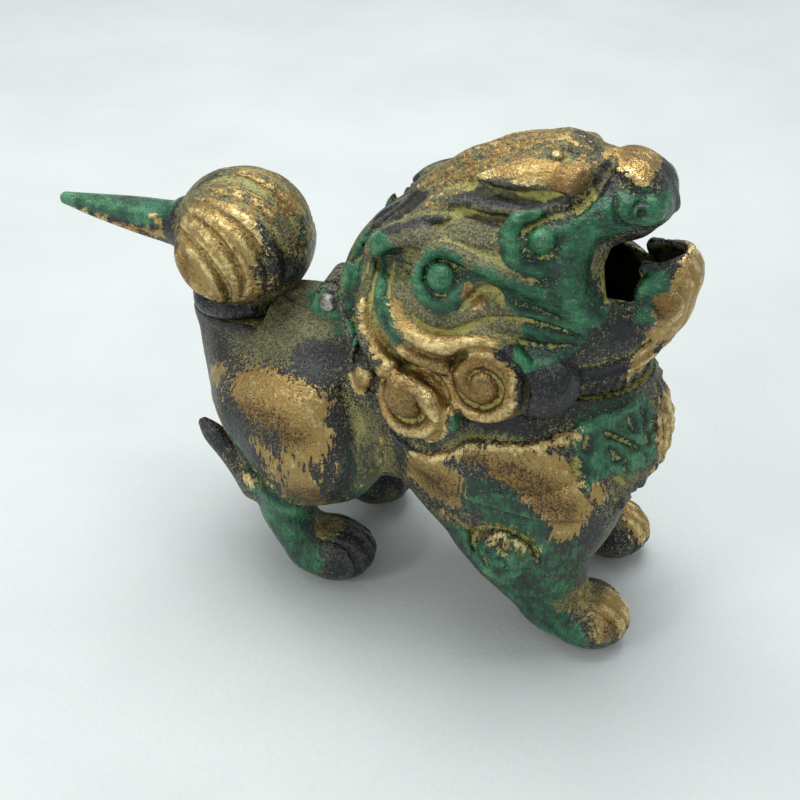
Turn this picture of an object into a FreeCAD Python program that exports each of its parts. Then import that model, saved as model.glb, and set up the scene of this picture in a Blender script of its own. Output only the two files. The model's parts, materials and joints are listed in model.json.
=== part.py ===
"""Foo dog incense burner: a hollow cast lion-dog whose head is a hinged lid.

Millimetres, +Z up, +X towards the head, +Y towards the dog's left side.
The origin is on the floor, midway between the tail tip and the jaw tip.
Four castings and fixings: body, head, tail, hinge pin and tail screw.
"""
import FreeCAD, Part
import math
import os

from FreeCAD import Matrix, Vector

# ---- driving dimensions ---------------------------------------------------
WALL = 3.0                 # cast wall thickness
HINGE_X, HINGE_Z = -3.5, 61.0
PART_SLOPE = -4.0 / 58.0   # the parting face drops this much per mm forwards
PART_GAP = 0.4             # air left between head and body at the parting face
NECK_X = 27.0              # centre of the oval neck
NECK_A, NECK_B = 27.5, 18.5
SKIRT_WALL = 2.5           # wall of the head's lower rim
SPIGOT_GAP = 1.0           # play between the body's neck rim and the head
SPIGOT_WALL = 2.2
CURL_GAP = 0.5             # air between the hanging curls and the neck
SPIGOT_RISE = 2.6
PIN_R = 1.2
PIN_PLAY = 0.05            # radial play of the pin in the head's tongue
PIN_HEAD_R, PIN_HEAD_T = 1.9, 0.8
EYE_R = 2.9                # outer radius of the hinge knuckles
TONGUE_HALF = 2.2
EAR_GAP = 0.3
EAR_T = 2.6
BALL = Vector(-21.3, 0, 69.0)
BALL_R = 12.9
BALL_GAP = 0.4             # air between the tail ball and the spine ridge
SPIKE_TIP_X, SPIKE_TIP_Z = -60.3, 70.2
TAIL_SEAT = Vector(-22.5, 0, 55.0)
PEG_R, PEG_LENGTH, PEG_PLAY = 3.0, 5.0, 0.1
PEG_END_GAP = 0.4
SCREW_PLAY = 0.25
SCREW_R, SCREW_HEAD_R, SCREW_HEAD_T = 1.25, 2.6, 1.6
SCREW_TOP_Z = 56.5
SCREW_SEAT_Z = 46.0        # flat under the rump boss where the screw head bears
SPOT_FACE_PLAY = 0.5       # room round the screw's head
BOSS_R = 5.6
LEG_Y = 12.5               # the legs stand this far from the middle
FRONT_TOES_X, HIND_TOES_X = 55.6, 3.0
TOE_R, TOE_Z = 3.0, 3.2
NECK_FOOT_Z = 42.0         # the neck column starts here, inside the trunk
CURL_TILT = 16.0           # degrees that the curls look up
RIDGE_X = HINGE_X - 3.8    # front of the spine ridge
RIDGE_HALF, RIDGE_LENGTH, RIDGE_TOP, RIDGE_FALL = 5.1, 10.2, 0.6, 14.0
KNUCKLE_PLAY = 0.5         # room round the hinge knuckles in the head
BIG = 300.0

# ---- helpers --------------------------------------------------------------


def ellipsoid(centre, radii, pitch=0.0, yaw=0.0):
    """A solid ellipsoid; pitch lifts its +X end, yaw turns it about Z, in degrees."""
    squash = Matrix()
    squash.scale(*radii)
    shape = Part.makeSphere(1.0).transformGeometry(squash)
    shape.rotate(Vector(0, 0, 0), Vector(0, 1, 0), -pitch)
    shape.rotate(Vector(0, 0, 0), Vector(0, 0, 1), yaw)
    shape.translate(Vector(*centre))
    return shape


def limb(points):
    """A tapered limb through (x, y, z, radius) points: cones joined by balls."""
    pieces = []
    for (xa, ya, za, ra), (xb, yb, zb, rb) in zip(points, points[1:]):
        start, end = Vector(xa, ya, za), Vector(xb, yb, zb)
        along = end - start
        if abs(ra - rb) < 1e-6:
            pieces.append(Part.makeCylinder(ra, along.Length, start, along))
        else:
            pieces.append(Part.makeCone(ra, rb, along.Length, start, along))
    for x, y, z, r in points:
        pieces.append(Part.makeSphere(r, Vector(x, y, z)))
    return pieces[0].multiFuse(pieces[1:])


def oval_prism(centre_x, a, b, z_low, z_high):
    """An upright oval column."""
    squash = Matrix()
    squash.scale(a, b, 1.0)
    column = Part.makeCylinder(1.0, z_high - z_low).transformGeometry(squash)
    column.translate(Vector(centre_x, 0, z_low))
    return column


def mirrored(shapes):
    """The shapes of the right side and their copies on the left side."""
    return shapes + [s.mirror(Vector(0, 0, 0), Vector(0, 1, 0)) for s in shapes]


def above_parting(offset=0.0):
    """Everything above the sloping face between body and head."""
    block = Part.makeBox(BIG, BIG, BIG, Vector(-BIG / 2, -BIG / 2, offset))
    block.rotate(Vector(0, 0, 0), Vector(0, 1, 0), math.degrees(math.atan(-PART_SLOPE)))
    block.translate(Vector(HINGE_X, 0, HINGE_Z))
    return block


def lug(half_width, y_centre, foot):
    """A hinge knuckle about the pin, on a foot given as X-Z corners."""
    eye = Part.makeCylinder(
        EYE_R, 2 * half_width,
        Vector(HINGE_X, y_centre - half_width, HINGE_Z), Vector(0, 1, 0),
    )
    corners = [Vector(x, y_centre - half_width, z) for x, z in foot]
    base = Part.Face(Part.makePolygon(corners + corners[:1])).extrude(
        Vector(0, 2 * half_width, 0)
    )
    return eye.fuse(base)


def across(radius, half_length, x, z):
    """A cylinder along Y."""
    return Part.makeCylinder(
        radius, 2 * half_length, Vector(x, -half_length, z), Vector(0, 1, 0)
    )


def one_solid(shape):
    """The shape's largest solid, without boolean scraps."""
    return max(shape.Solids, key=lambda s: s.Volume)


# ---- body -----------------------------------------------------------------

# centre, radii, pitch
TRUNK = (
    ((-9.5, 0, 40.0), (20.8, 18.5, 18.5), 0),
    ((12.0, 0, 40.5), (28.0, 18.0, 18.5), 0),
    ((37.8, 0, 42.0), (22.8, 18.8, 17.6), 0),
)


def front_leg():
    """Shoulder, leg, elbow boss and paw of the right foreleg."""
    return [
        ellipsoid((37, -13.5, 34), (15.5, 8.5, 15.5), pitch=-14),
        limb([(41, -13.5, 25, 9.2), (44.5, -13, 13, 6.8), (45.5, -LEG_Y, 6.5, 6.4)]),
        limb([(24.5, -12.5, 30, 6.5), (33, -14, 19.5, 6.0), (42, -13, 9, 5.8)]),
        ellipsoid((34.8, -17.0, 19.8), (4.8, 4.2, 4.4)),
        ellipsoid((51, -LEG_Y, 6.0), (9.0, 7.6, 6.6)),
    ] + toes(FRONT_TOES_X)


def hind_leg():
    """Haunch, hock, fin and paw of the right hind leg."""
    return [
        ellipsoid((-6, -12.5, 35), (16, 9.5, 17.5), pitch=10),
        limb([(-13, -13, 23, 7.4), (-10, -12.6, 9, 5.6), (-7.5, -12, 6.2, 5.6)]),
        limb([(-16.5, -15, 21, 4.2), (-21, -14, 26, 3.0), (-26, -12.5, 31.5, 1.8)]),
        ellipsoid((-1.5, -LEG_Y, 5.8), (8.6, 7.0, 6.3)),
    ] + toes(HIND_TOES_X)


def toes(front_x):
    """Four rounded toes at the front of a paw, the outer two set back."""
    spots = ((-2.2, 5.0), (0.4, 1.8), (0.4, -1.8), (-2.2, -5.0))
    return [Part.makeSphere(TOE_R, Vector(front_x + dx, dy - LEG_Y, TOE_Z)) for dx, dy in spots]


def neck_spigot():
    """The raised oval rim that centres the head on the body."""
    a = NECK_A - SKIRT_WALL - SPIGOT_GAP
    b = NECK_B - SKIRT_WALL - SPIGOT_GAP
    return oval_prism(NECK_X, a, b, NECK_FOOT_Z, BIG / 3).cut(above_parting(SPIGOT_RISE))


def chamber():
    """The hollow of the bowl, with its oval mouth."""
    hollows = [
        ellipsoid(c, tuple(r - WALL for r in radii), pitch) for c, radii, pitch in TRUNK
    ]
    a = NECK_A - SKIRT_WALL - SPIGOT_GAP - SPIGOT_WALL
    b = NECK_B - SKIRT_WALL - SPIGOT_GAP - SPIGOT_WALL
    return hollows[0].multiFuse(hollows[1:] + [oval_prism(NECK_X, a, b, NECK_FOOT_Z, BIG / 3)])


def body_ears():
    """The two ears of the hinge and the pointed spine ridge behind them."""
    y = TONGUE_HALF + EAR_GAP + EAR_T / 2
    foot = ((HINGE_X + 1.2, 50), (HINGE_X + 1.6, HINGE_Z - 2.2), (HINGE_X, HINGE_Z),
            (HINGE_X - EYE_R, HINGE_Z - 0.3), (HINGE_X - 5.5, 56), (HINGE_X - 5.5, 50))
    return [lug(EAR_T / 2, side * y, foot) for side in (-1, 1)] + [spine_ridge()]


def spine_ridge():
    """A pointed ridge that rises from the tail to the hinge, clear of the tail ball."""
    foot_z = 50
    wide = [Vector(RIDGE_X, side * RIDGE_HALF, foot_z) for side in (-1, 1)]
    corners = wide + [Vector(RIDGE_X - RIDGE_LENGTH, 0, foot_z), wide[0]]
    ridge = Part.Face(Part.makePolygon(corners)).extrude(Vector(0, 0, HINGE_Z - foot_z))
    roof = Part.makeBox(BIG, BIG, BIG, Vector(-BIG / 2, -BIG / 2, 0))
    roof.rotate(Vector(0, 0, 0), Vector(0, 1, 0), -RIDGE_FALL)
    roof.translate(Vector(RIDGE_X, 0, HINGE_Z - RIDGE_TOP))
    return ridge.cut(roof).cut(Part.makeSphere(BALL_R + BALL_GAP, BALL))


def trunk_below_parting():
    """The trunk and neck up to the parting face."""
    lumps = [ellipsoid(*lump) for lump in TRUNK]
    neck = oval_prism(NECK_X, NECK_A, NECK_B, NECK_FOOT_Z, BIG / 3)
    whole = lumps[0].multiFuse(lumps[1:] + [neck])
    return whole.cut(above_parting(-PART_GAP))


def tail_stub():
    """The rump boss that carries the tail."""
    return limb([(-22, 0, 48, 9.5), (-24.5, 0, 53.5, 8.5)])


def tongue_slot():
    """Room for the head's hinge tongue between the ears."""
    half = TONGUE_HALF + EAR_GAP
    return Part.makeBox(
        9.0, 2 * half, 20, Vector(HINGE_X - EYE_R - 0.6, -half, HINGE_Z - EYE_R - 1.0)
    )


def below_seat(radius, z_low, z_high=TAIL_SEAT.z):
    """An upright cylinder on the tail screw's axis."""
    return Part.makeCylinder(radius, z_high - z_low, Vector(TAIL_SEAT.x, 0, z_low))


def tail_hole():
    """The peg's socket, the screw's clearance hole and the flat for its head."""
    socket = below_seat(PEG_R + PEG_PLAY, TAIL_SEAT.z - PEG_LENGTH - PEG_END_GAP)
    screw = below_seat(SCREW_R + SCREW_PLAY, SCREW_SEAT_Z - 1)
    spot_face = below_seat(SCREW_HEAD_R + SPOT_FACE_PLAY, SCREW_SEAT_Z - 4, SCREW_SEAT_Z)
    return socket.multiFuse([screw, spot_face])


def body_casting():
    """Bowl, legs, neck rim and hinge ears in one hollow casting."""
    legs = mirrored(front_leg() + hind_leg())
    outer = trunk_below_parting().multiFuse(legs + [tail_stub()])
    above_seat = Part.makeBox(40, 40, 40, Vector(-45, -20, TAIL_SEAT.z))
    outer = outer.cut(above_seat)
    outer = outer.multiFuse([neck_spigot()] + body_ears())
    below_floor = Part.makeBox(BIG, BIG, BIG, Vector(-BIG / 2, -BIG / 2, -BIG))
    hollow = chamber().cut(below_seat(BOSS_R, SCREW_SEAT_Z))
    hollow = hollow.multiFuse([tongue_slot(), tail_hole(), below_floor])
    pin_bore = across(PIN_R, 20, HINGE_X, HINGE_Z)
    return one_solid(outer.cut(hollow).cut(pin_bore))


# ---- head -----------------------------------------------------------------

# centre, radii, pitch
SKULL = (
    ((22.0, 0, 67.5), (22.8, 21.5, 16.5), 4),     # mane
    ((25.5, 0, 75.8), (22.0, 16.5, 14.0), 26),    # crown
    ((37.0, 0, 67.5), (17.0, 17.0, 14.0), 10),    # cheeks
)


def snout():
    """Forehead, nose and lips ahead of the skull."""
    return [
        ellipsoid((36.5, 0, 84.5), (12.5, 11.0, 9.5), pitch=8),
        ellipsoid((47, 0, 90.5), (7.6, 8.6, 6.2), pitch=-12),
        ellipsoid((50.5, 0, 88.0), (4.2, 7.4, 4.6), pitch=-30),
    ]


def jaw():
    """The lower jaw, curling up to the lip."""
    return [
        ellipsoid((46.6, 0, 65.8), (12.0, 12.8, 9.3), pitch=10),
        ellipsoid((53.4, 0, 73.4), (7.0, 8.2, 8.8), pitch=14),
    ]


def skin_of_head():
    """The outside of the head, down to the parting face."""
    lumps = [ellipsoid(*lump) for lump in SKULL] + snout() + jaw()
    skirt = oval_prism(NECK_X, NECK_A, NECK_B, NECK_FOOT_Z, 70)
    whole = lumps[0].multiFuse(lumps[1:] + [skirt])
    return whole.common(above_parting(PART_GAP))


def side_features():
    """Curls, ears, brow, eye and lip bosses of the right side."""
    return [
        curl(18.0, -19.2, 58.5, 8.0, 5.6),
        curl(31.5, -18.6, 64.0, 8.4, 5.8),
        curl(8.5, -18.2, 60.5, 3.6, 3.2),
        ellipsoid((24.5, -17.0, 76.5), (4.8, 4.0, 4.8)),
        ellipsoid((13.5, -13.5, 78.0), (7.0, 3.6, 4.0), pitch=24, yaw=14),
        ellipsoid((36.5, -12.5, 82.0), (4.6, 3.8, 4.6)),
        ellipsoid((33.0, -6.5, 90.0), (9.5, 4.2, 3.6), pitch=8, yaw=6),
        ellipsoid((48.8, -7.0, 89.5), (3.4, 3.0, 3.4)),
        ellipsoid((52.2, -8.6, 73.5), (2.6, 2.6, 2.6)),
    ]


def curl(x, y, z, radius, depth):
    """A domed round lock of the mane, facing outwards and a little up."""
    disc = Part.makeCylinder(radius, depth, Vector(0, 0, 0), Vector(0, 0, 1))
    dome = ellipsoid((0, 0, depth), (radius * 0.78, radius * 0.78, 1.6))
    lock = disc.fuse(dome)
    lock.rotate(Vector(0, 0, 0), Vector(1, 0, 0), 90 - CURL_TILT)
    lock.translate(Vector(x, y + 1.0, z))
    return lock


def mouth_gap():
    """The open bite, through both cheeks."""
    corners = ((44.5, 78.8), (46.0, 82.0), (49.2, 83.2), (52.2, 85.6), (66.0, 90.6), (66.0, 83.0),
               (58.0, 80.6), (50.8, 78.2), (48.8, 75.2), (46.4, 74.8))
    points = [Vector(x, -30, z) for x, z in corners]
    return Part.Face(Part.makePolygon(points + points[:1])).extrude(Vector(0, 60, 0))


def head_hollow():
    """The smoke space inside the head, open below and at the mouth."""
    inside = [
        ellipsoid(c, tuple(r - WALL for r in radii), pitch) for c, radii, pitch in SKULL
    ]
    inside.append(ellipsoid((45.0, 0, 71.0), (9.5, 9.5, 7.5), pitch=20))
    inside.append(ellipsoid((49.5, 0, 77.5), (5.5, 6.5, 6.0), pitch=20))
    inside.append(ellipsoid((43.0, 0, 83.5), (7.0, 7.0, 5.5)))
    inside.append(
        oval_prism(NECK_X, NECK_A - SKIRT_WALL, NECK_B - SKIRT_WALL, NECK_FOOT_Z, 64)
    )
    return inside[0].multiFuse(inside[1:] + [mouth_gap()])


def tongue():
    """The hinge tongue at the back of the neck."""
    foot = ((HINGE_X + 5.5, HINGE_Z + 0.2), (HINGE_X + 5.5, HINGE_Z + 5.0),
            (HINGE_X + 1.8, HINGE_Z + 4.6), (HINGE_X - EYE_R * 0.7, HINGE_Z + EYE_R * 0.7),
            (HINGE_X, HINGE_Z - 0.5), (HINGE_X + 2.5, HINGE_Z + 0.2))
    return lug(TONGUE_HALF, 0, foot)


def fang():
    """The beak-like fang in the middle of the upper lip."""
    return Part.makeCone(2.0, 0.7, 4.2, Vector(53.2, 0, 89.6), Vector(0.3, 0, -1))


def head_casting():
    """Hollow lion-dog head with its mane, open mouth and hinge tongue."""
    outer = skin_of_head().multiFuse(mirrored(side_features()) + [fang()])
    shell = outer.cut(head_hollow())
    neck = oval_prism(NECK_X, NECK_A + CURL_GAP, NECK_B + CURL_GAP, NECK_FOOT_Z, 75)
    shell = shell.cut(neck.cut(above_parting(PART_GAP)))
    bore = across(PIN_R + PIN_PLAY, 20, HINGE_X, HINGE_Z)
    room_half = TONGUE_HALF + EAR_GAP + EAR_T + KNUCKLE_PLAY
    ear_room = across(EYE_R + KNUCKLE_PLAY, room_half, HINGE_X, HINGE_Z)
    return one_solid(shell.cut(ear_room).fuse(tongue()).cut(bore))


# ---- tail, pin and screw --------------------------------------------------


def tail_casting():
    """Ball of tail hair with its spike, and the peg that seats it."""
    knot = limb([(-24.5, 0, 55.8, 6.8), (-29.0, 0, 60.0, 6.2)])
    spike = limb([
        (-34.0, 0, 68.5, 4.6), (-46.0, 0, 69.4, 3.0),
        (SPIKE_TIP_X + 1.0, 0, SPIKE_TIP_Z, 1.0),
    ])
    ball = Part.makeSphere(BALL_R, BALL)
    tail = ball.multiFuse([knot, spike])
    under_seat = Part.makeBox(80, 40, 40, Vector(-70, -20, TAIL_SEAT.z - 40))
    peg = below_seat(PEG_R, TAIL_SEAT.z - PEG_LENGTH, TAIL_SEAT.z + 1)
    tapped = below_seat(SCREW_R, TAIL_SEAT.z - PEG_LENGTH, SCREW_TOP_Z + 1)
    return one_solid(tail.cut(under_seat).fuse(peg).cut(tapped))


def hinge_pin():
    """Pin with a peened head at each end."""
    half = TONGUE_HALF + EAR_GAP + EAR_T
    shank = across(PIN_R, half, HINGE_X, HINGE_Z)
    heads = [
        Part.makeCone(
            PIN_HEAD_R, PIN_R, PIN_HEAD_T,
            Vector(HINGE_X, side * half, HINGE_Z), Vector(0, side, 0),
        )
        for side in (-1, 1)
    ]
    return shank.multiFuse(heads)


def tail_screw():
    """Round-headed screw, up from inside the bowl into the tail's peg."""
    shank = below_seat(SCREW_R, SCREW_SEAT_Z, SCREW_TOP_Z)
    head = below_seat(SCREW_HEAD_R, SCREW_SEAT_Z - SCREW_HEAD_T, SCREW_SEAT_Z)
    return shank.fuse(head)


NODES = {
    "body_casting": body_casting,
    "head_casting": head_casting,
    "tail_casting": tail_casting,
    "hinge_pin": hinge_pin,
    "tail_screw": tail_screw,
}


def main():
    os.makedirs("parts", exist_ok=True)
    for name, make in NODES.items():
        shape = make()
        box = shape.BoundBox
        print(name, "valid", shape.isValid(), "solids", len(shape.Solids),
              "cm3", round(shape.Volume / 1000, 2),
              "x %.1f..%.1f y %.1f..%.1f z %.1f..%.1f" % (
                  box.XMin, box.XMax, box.YMin, box.YMax, box.ZMin, box.ZMax))
        shape.exportStep("parts/%s.step" % name)


main()
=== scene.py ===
import json
import math

import bpy
import numpy as np
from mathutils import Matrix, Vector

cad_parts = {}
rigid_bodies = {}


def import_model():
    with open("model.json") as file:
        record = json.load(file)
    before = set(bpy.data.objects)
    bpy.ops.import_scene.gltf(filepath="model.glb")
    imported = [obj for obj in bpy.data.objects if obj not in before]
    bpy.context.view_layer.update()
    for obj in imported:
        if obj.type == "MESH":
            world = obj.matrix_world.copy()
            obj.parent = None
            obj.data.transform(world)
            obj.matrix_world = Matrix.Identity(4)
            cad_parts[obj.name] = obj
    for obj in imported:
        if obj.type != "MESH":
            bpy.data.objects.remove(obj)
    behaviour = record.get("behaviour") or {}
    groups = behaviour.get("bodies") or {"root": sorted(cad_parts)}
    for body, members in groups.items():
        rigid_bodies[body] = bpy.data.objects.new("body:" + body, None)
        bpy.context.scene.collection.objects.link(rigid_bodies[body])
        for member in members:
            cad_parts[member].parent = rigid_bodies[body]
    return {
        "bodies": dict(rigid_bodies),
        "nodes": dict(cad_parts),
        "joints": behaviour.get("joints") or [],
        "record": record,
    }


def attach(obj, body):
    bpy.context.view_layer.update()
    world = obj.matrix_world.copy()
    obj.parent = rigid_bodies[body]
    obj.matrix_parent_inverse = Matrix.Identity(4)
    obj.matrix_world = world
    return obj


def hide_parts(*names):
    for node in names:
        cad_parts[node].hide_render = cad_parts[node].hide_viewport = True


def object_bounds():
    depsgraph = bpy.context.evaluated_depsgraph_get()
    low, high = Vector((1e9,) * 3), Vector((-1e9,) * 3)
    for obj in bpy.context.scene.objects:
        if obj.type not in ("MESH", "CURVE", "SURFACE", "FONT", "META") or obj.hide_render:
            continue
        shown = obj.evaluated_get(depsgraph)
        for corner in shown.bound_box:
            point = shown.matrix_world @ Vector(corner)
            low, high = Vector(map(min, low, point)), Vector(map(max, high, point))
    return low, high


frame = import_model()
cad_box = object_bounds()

import openvdb
from mathutils import Vector

# A cast and painted foo dog: the body, the hinged head and the tail are modelled as clay, that is
# as signed distances on a grid, in mm, and then meshed. The pin and the screw are the CAD's own.

FAR = 9.0                # field value, in mm, where nothing has been modelled
REACH = 2.5              # the field is kept true this far from a form


def spline(points, per_span=7):
    """A smooth curve through given points; every column is carried along."""
    p = np.array(points, float)
    ends = np.vstack([2 * p[0] - p[1], p, 2 * p[-1] - p[-2]])
    t = np.linspace(0, 1, per_span, endpoint=False)[:, None]
    spans = []
    for a, b, c, d in zip(ends, ends[1:], ends[2:], ends[3:]):
        spans.append(0.5 * (2 * b + (c - a) * t + (2 * a - 5 * b + 4 * c - d) * t**2
                            + (3 * b - a - 3 * c + d) * t**3))
    return np.vstack(spans + [p[-1:]])


def ramp(value, low, high):
    """0 below low, 1 above high, smooth between."""
    t = np.clip((value - low) / (high - low), 0, 1)
    return t * t * (3 - 2 * t)


def soft_min(a, b, soft):
    """The union of two fields, with a fillet about soft mm wide."""
    h = np.clip(0.5 + 0.5 * (b - a) / soft, 0, 1)
    return b * (1 - h) + a * h - soft * h * (1 - h)


def turned(pitch, yaw, roll):
    """Columns are the turned axes: roll about X, then pitch (+X end up), then yaw about Z."""
    p, y, r = math.radians(-pitch), math.radians(yaw), math.radians(roll)
    rx = np.array([[1, 0, 0], [0, math.cos(r), -math.sin(r)], [0, math.sin(r), math.cos(r)]])
    ry = np.array([[math.cos(p), 0, math.sin(p)], [0, 1, 0], [-math.sin(p), 0, math.cos(p)]])
    rz = np.array([[math.cos(y), -math.sin(y), 0], [math.sin(y), math.cos(y), 0], [0, 0, 1]])
    return rz @ ry @ rx


def local(x, y, z, centre, frame):
    """Coordinates about a centre, along the frame's columns."""
    x, y, z = x - centre[0], y - centre[1], z - centre[2]
    return [frame[0, i] * x + frame[1, i] * y + frame[2, i] * z for i in range(3)]


def egg(centre, radii, pitch=0, yaw=0, roll=0):
    """An ellipsoid. Every form is (field function, lowest corner, highest corner)."""
    frame = turned(pitch, yaw, roll)
    r = np.array(radii, float)

    def field(x, y, z):
        q = local(x, y, z, centre, frame)
        k0 = np.sqrt(sum((q[i] / r[i]) ** 2 for i in range(3)))
        k1 = np.sqrt(sum((q[i] / r[i] ** 2) ** 2 for i in range(3)))
        return k0 * (k0 - 1) / np.maximum(k1, 1e-6)

    half = np.sqrt(((frame * r) ** 2).sum(1))
    return field, np.array(centre) - half, np.array(centre) + half


def rope(points, flat=1.0):
    """A tapered round lock through (x, y, z, radius) points, flattened along Y by flat."""
    path = spline(points)
    radius = path[:, 3]
    path = path[:, :3] * (1, 1 / flat, 1)

    def field(x, y, z):
        y = y / flat
        best = None
        for a, b, ra, rb in zip(path, path[1:], radius, radius[1:]):
            along = b - a
            px, py, pz = x - a[0], y - a[1], z - a[2]
            h = np.clip((px * along[0] + py * along[1] + pz * along[2]) / (along @ along), 0, 1)
            gap = np.sqrt((px - along[0] * h) ** 2 + (py - along[1] * h) ** 2
                          + (pz - along[2] * h) ** 2) - (ra + (rb - ra) * h)
            best = gap if best is None else np.minimum(best, gap)
        return best * min(flat, 1.0)

    real = path * (1, flat, 1)
    return field, (real - radius[:, None]).min(0), (real + radius[:, None]).max(0)


def drum(centre, axis, radius, half, edge=0.4):
    """A round disc or pin about an axis, with its rims rounded by edge."""
    axis = np.array(axis, float) / np.linalg.norm(axis)

    def field(x, y, z):
        x, y, z = x - centre[0], y - centre[1], z - centre[2]
        h = x * axis[0] + y * axis[1] + z * axis[2]
        out = np.sqrt(np.maximum(x * x + y * y + z * z - h * h, 0)) - radius + edge
        up = np.abs(h) - half + edge
        return np.hypot(np.maximum(out, 0), np.maximum(up, 0)) + np.minimum(np.maximum(out, up), 0) - edge

    size = radius + half
    return field, np.array(centre) - size, np.array(centre) + size


def column(centre_x, a, b, z_low, z_high):
    """An upright oval column."""
    def field(x, y, z):
        k0 = np.hypot((x - centre_x) / a, y / b)
        k1 = np.hypot((x - centre_x) / a**2, y / b**2)
        side = k0 * (k0 - 1) / np.maximum(k1, 1e-6)
        return np.maximum(side, np.maximum(z_low - z, z - z_high))

    return field, np.array((centre_x - a, -b, z_low)), np.array((centre_x + a, b, z_high))


def plate(corners, y_low, y_high):
    """A convex X-Z outline, drawn anticlockwise seen from the dog's right, from y_low to y_high."""
    corners = np.array(corners, float)

    def field(x, y, z):
        worst = np.maximum(y_low - y, y - y_high)
        for (xa, za), (xb, zb) in zip(corners, np.roll(corners, -1, 0)):
            length = math.hypot(xb - xa, zb - za)
            worst = np.maximum(worst, ((zb - za) * (x - xa) - (xb - xa) * (z - za)) / length)
        return worst

    low, high = corners.min(0), corners.max(0)
    return field, np.array((low[0], y_low, low[1])), np.array((high[0], y_high, high[1]))


# drawing planes: two drawn axes, then the depth
SIDE, TOP, FRONT = (0, 2, 1), (0, 1, 2), (1, 2, 0)


def line_distance(u, v, points):
    """Distance from (u, v) to a drawn line with its width there, and which side of it."""
    path = spline([(*p, 1.0) if len(p) == 2 else p for p in points])
    best = np.full(np.broadcast(u, v).shape, FAR * FAR)
    side, width = np.zeros_like(best), np.ones_like(best)
    for (ua, va, wa), (ub, vb, wb) in zip(path, path[1:]):
        du, dv = ub - ua, vb - va
        h = np.clip(((u - ua) * du + (v - va) * dv) / max(du * du + dv * dv, 1e-9), 0, 1)
        gap = (u - ua - du * h) ** 2 + (v - va - dv * h) ** 2
        nearer = gap < best
        best = np.where(nearer, gap, best)
        side = np.where(nearer, np.sign(du * (v - va) - dv * (u - ua)), side)
        width = np.where(nearer, wa + (wb - wa) * h, width)
    return np.sqrt(best), side, np.maximum(width, 0.05)


class Clay:
    """Signed distances in mm on a grid. A mirrored clay holds the dog's right half only."""

    def __init__(self, low, high, step, mirrored=True):
        self.low, self.step, self.mirrored = np.array(low, float), step, mirrored
        counts = np.ceil((np.array(high) - self.low) / step).astype(int) + 1
        self.axes = [self.low[i] + step * np.arange(counts[i]) for i in range(3)]
        self.d = np.full(counts, FAR, np.float32)

    def window(self, low, high):
        first = np.floor((low - self.low) / self.step).astype(int)
        last = np.ceil((high - self.low) / self.step).astype(int) + 1
        return tuple(slice(max(a, 0), max(min(b, n), 0)) for a, b, n in zip(first, last, self.d.shape))

    def grid(self, window):
        return [self.axes[i][window[i]].reshape([-1 if j == i else 1 for j in range(3)])
                for i in range(3)]

    def add(self, form, soft=1.0):
        field, low, high = form
        window = self.window(low - soft - REACH, high + soft + REACH)
        self.d[window] = soft_min(self.d[window], field(*self.grid(window)), soft)

    def cut(self, form, soft=0.3):
        field, low, high = form
        window = self.window(low - soft - REACH, high + soft + REACH)
        self.d[window] = -soft_min(-self.d[window], field(*self.grid(window)), soft)

    def draw(self, points, width, height, plane=SIDE, depth=(-99, 99), lip=0.0):
        """A ridge (or, with a negative height, a groove) along a drawn line.
        With a lip, only the line's left side is raised, and falls away over lip mm."""
        a, b, c = plane
        flat = np.array([p[:2] for p in points], float)
        spread = max(width * max([p[2] for p in points if len(p) == 3] or [1]), lip) + 0.5
        low, high = self.low.copy(), np.array([axis[-1] for axis in self.axes])
        low[a], low[b] = flat.min(0) - spread
        high[a], high[b] = flat.max(0) + spread
        low[c], high[c] = max(low[c], depth[0] - 1), min(high[c], depth[1] + 1)
        window = self.window(low, high)
        if 0 in self.d[window].shape:
            return
        grid = self.grid(window)
        gap, side, wide = line_distance(grid[a], grid[b], points)
        if lip:
            signed = gap * side
            bump = ramp(signed, -0.35, 0.35) * np.clip(1 - signed / (lip * wide), 0, 1)
        else:
            bump = np.clip(1 - (gap / (width * wide)) ** 2, 0, 1) ** 2 * np.minimum(wide, 1)
        gate = ramp(grid[c], depth[0] - 1, depth[0] + 1) * (1 - ramp(grid[c], depth[1] - 1, depth[1] + 1))
        self.d[window] -= (height * bump * gate).astype(np.float32)

    def spiral(self, centre, normal, radius, groove, pitch, hand=1, phase=0.0, sharp=3):
        """A spiral groove cut into a face about centre, seen along normal."""
        normal = np.array(normal, float) / np.linalg.norm(normal)
        across = np.cross((0, 0, 1), normal)
        across /= np.linalg.norm(across)
        frame = np.stack([across, np.cross(normal, across), normal], 1)
        size = radius + 1.0
        window = self.window(np.array(centre) - size, np.array(centre) + size)
        u, v, h = local(*self.grid(window), centre, frame)
        r = np.hypot(u, v)
        turn = r / pitch - hand * np.arctan2(v, u) / (2 * math.pi) + phase
        cut = (0.5 + 0.5 * np.cos(2 * math.pi * turn)) ** sharp
        inside = (1 - ramp(r, radius - 0.8, radius)) * (1 - ramp(np.abs(h), radius * 0.6, radius * 0.8))
        self.d[window] += (groove * cut * inside * ramp(r, 0.15 * pitch, 0.6 * pitch)).astype(np.float32)


HINGE_X, HINGE_Z = -3.5, 61.0
HINGE = (HINGE_X, 0, HINGE_Z)
ACROSS, UPWARD = (0, 1, 0), (0, 0, 1)
SCREW_X = -22.5
BALL = (-21.3, 0.0, 69.0)
PART_SLOPE = -4.0 / 58.0             # the parting face falls towards the front
PART_GAP = 0.4
SHARP = 0.0001                        # a fillet so small that the cut keeps a sharp edge
BACK_CURL, FRONT_CURL, CHEEK_KNOB = (19.0, -19.6, 56.4), (30.6, -19.2, 62.6), (38.2, -16.6, 61.8)
CURL_FACE = (-0.30, -0.86, 0.42)     # the big curls of the mane look out, back and up


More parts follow.
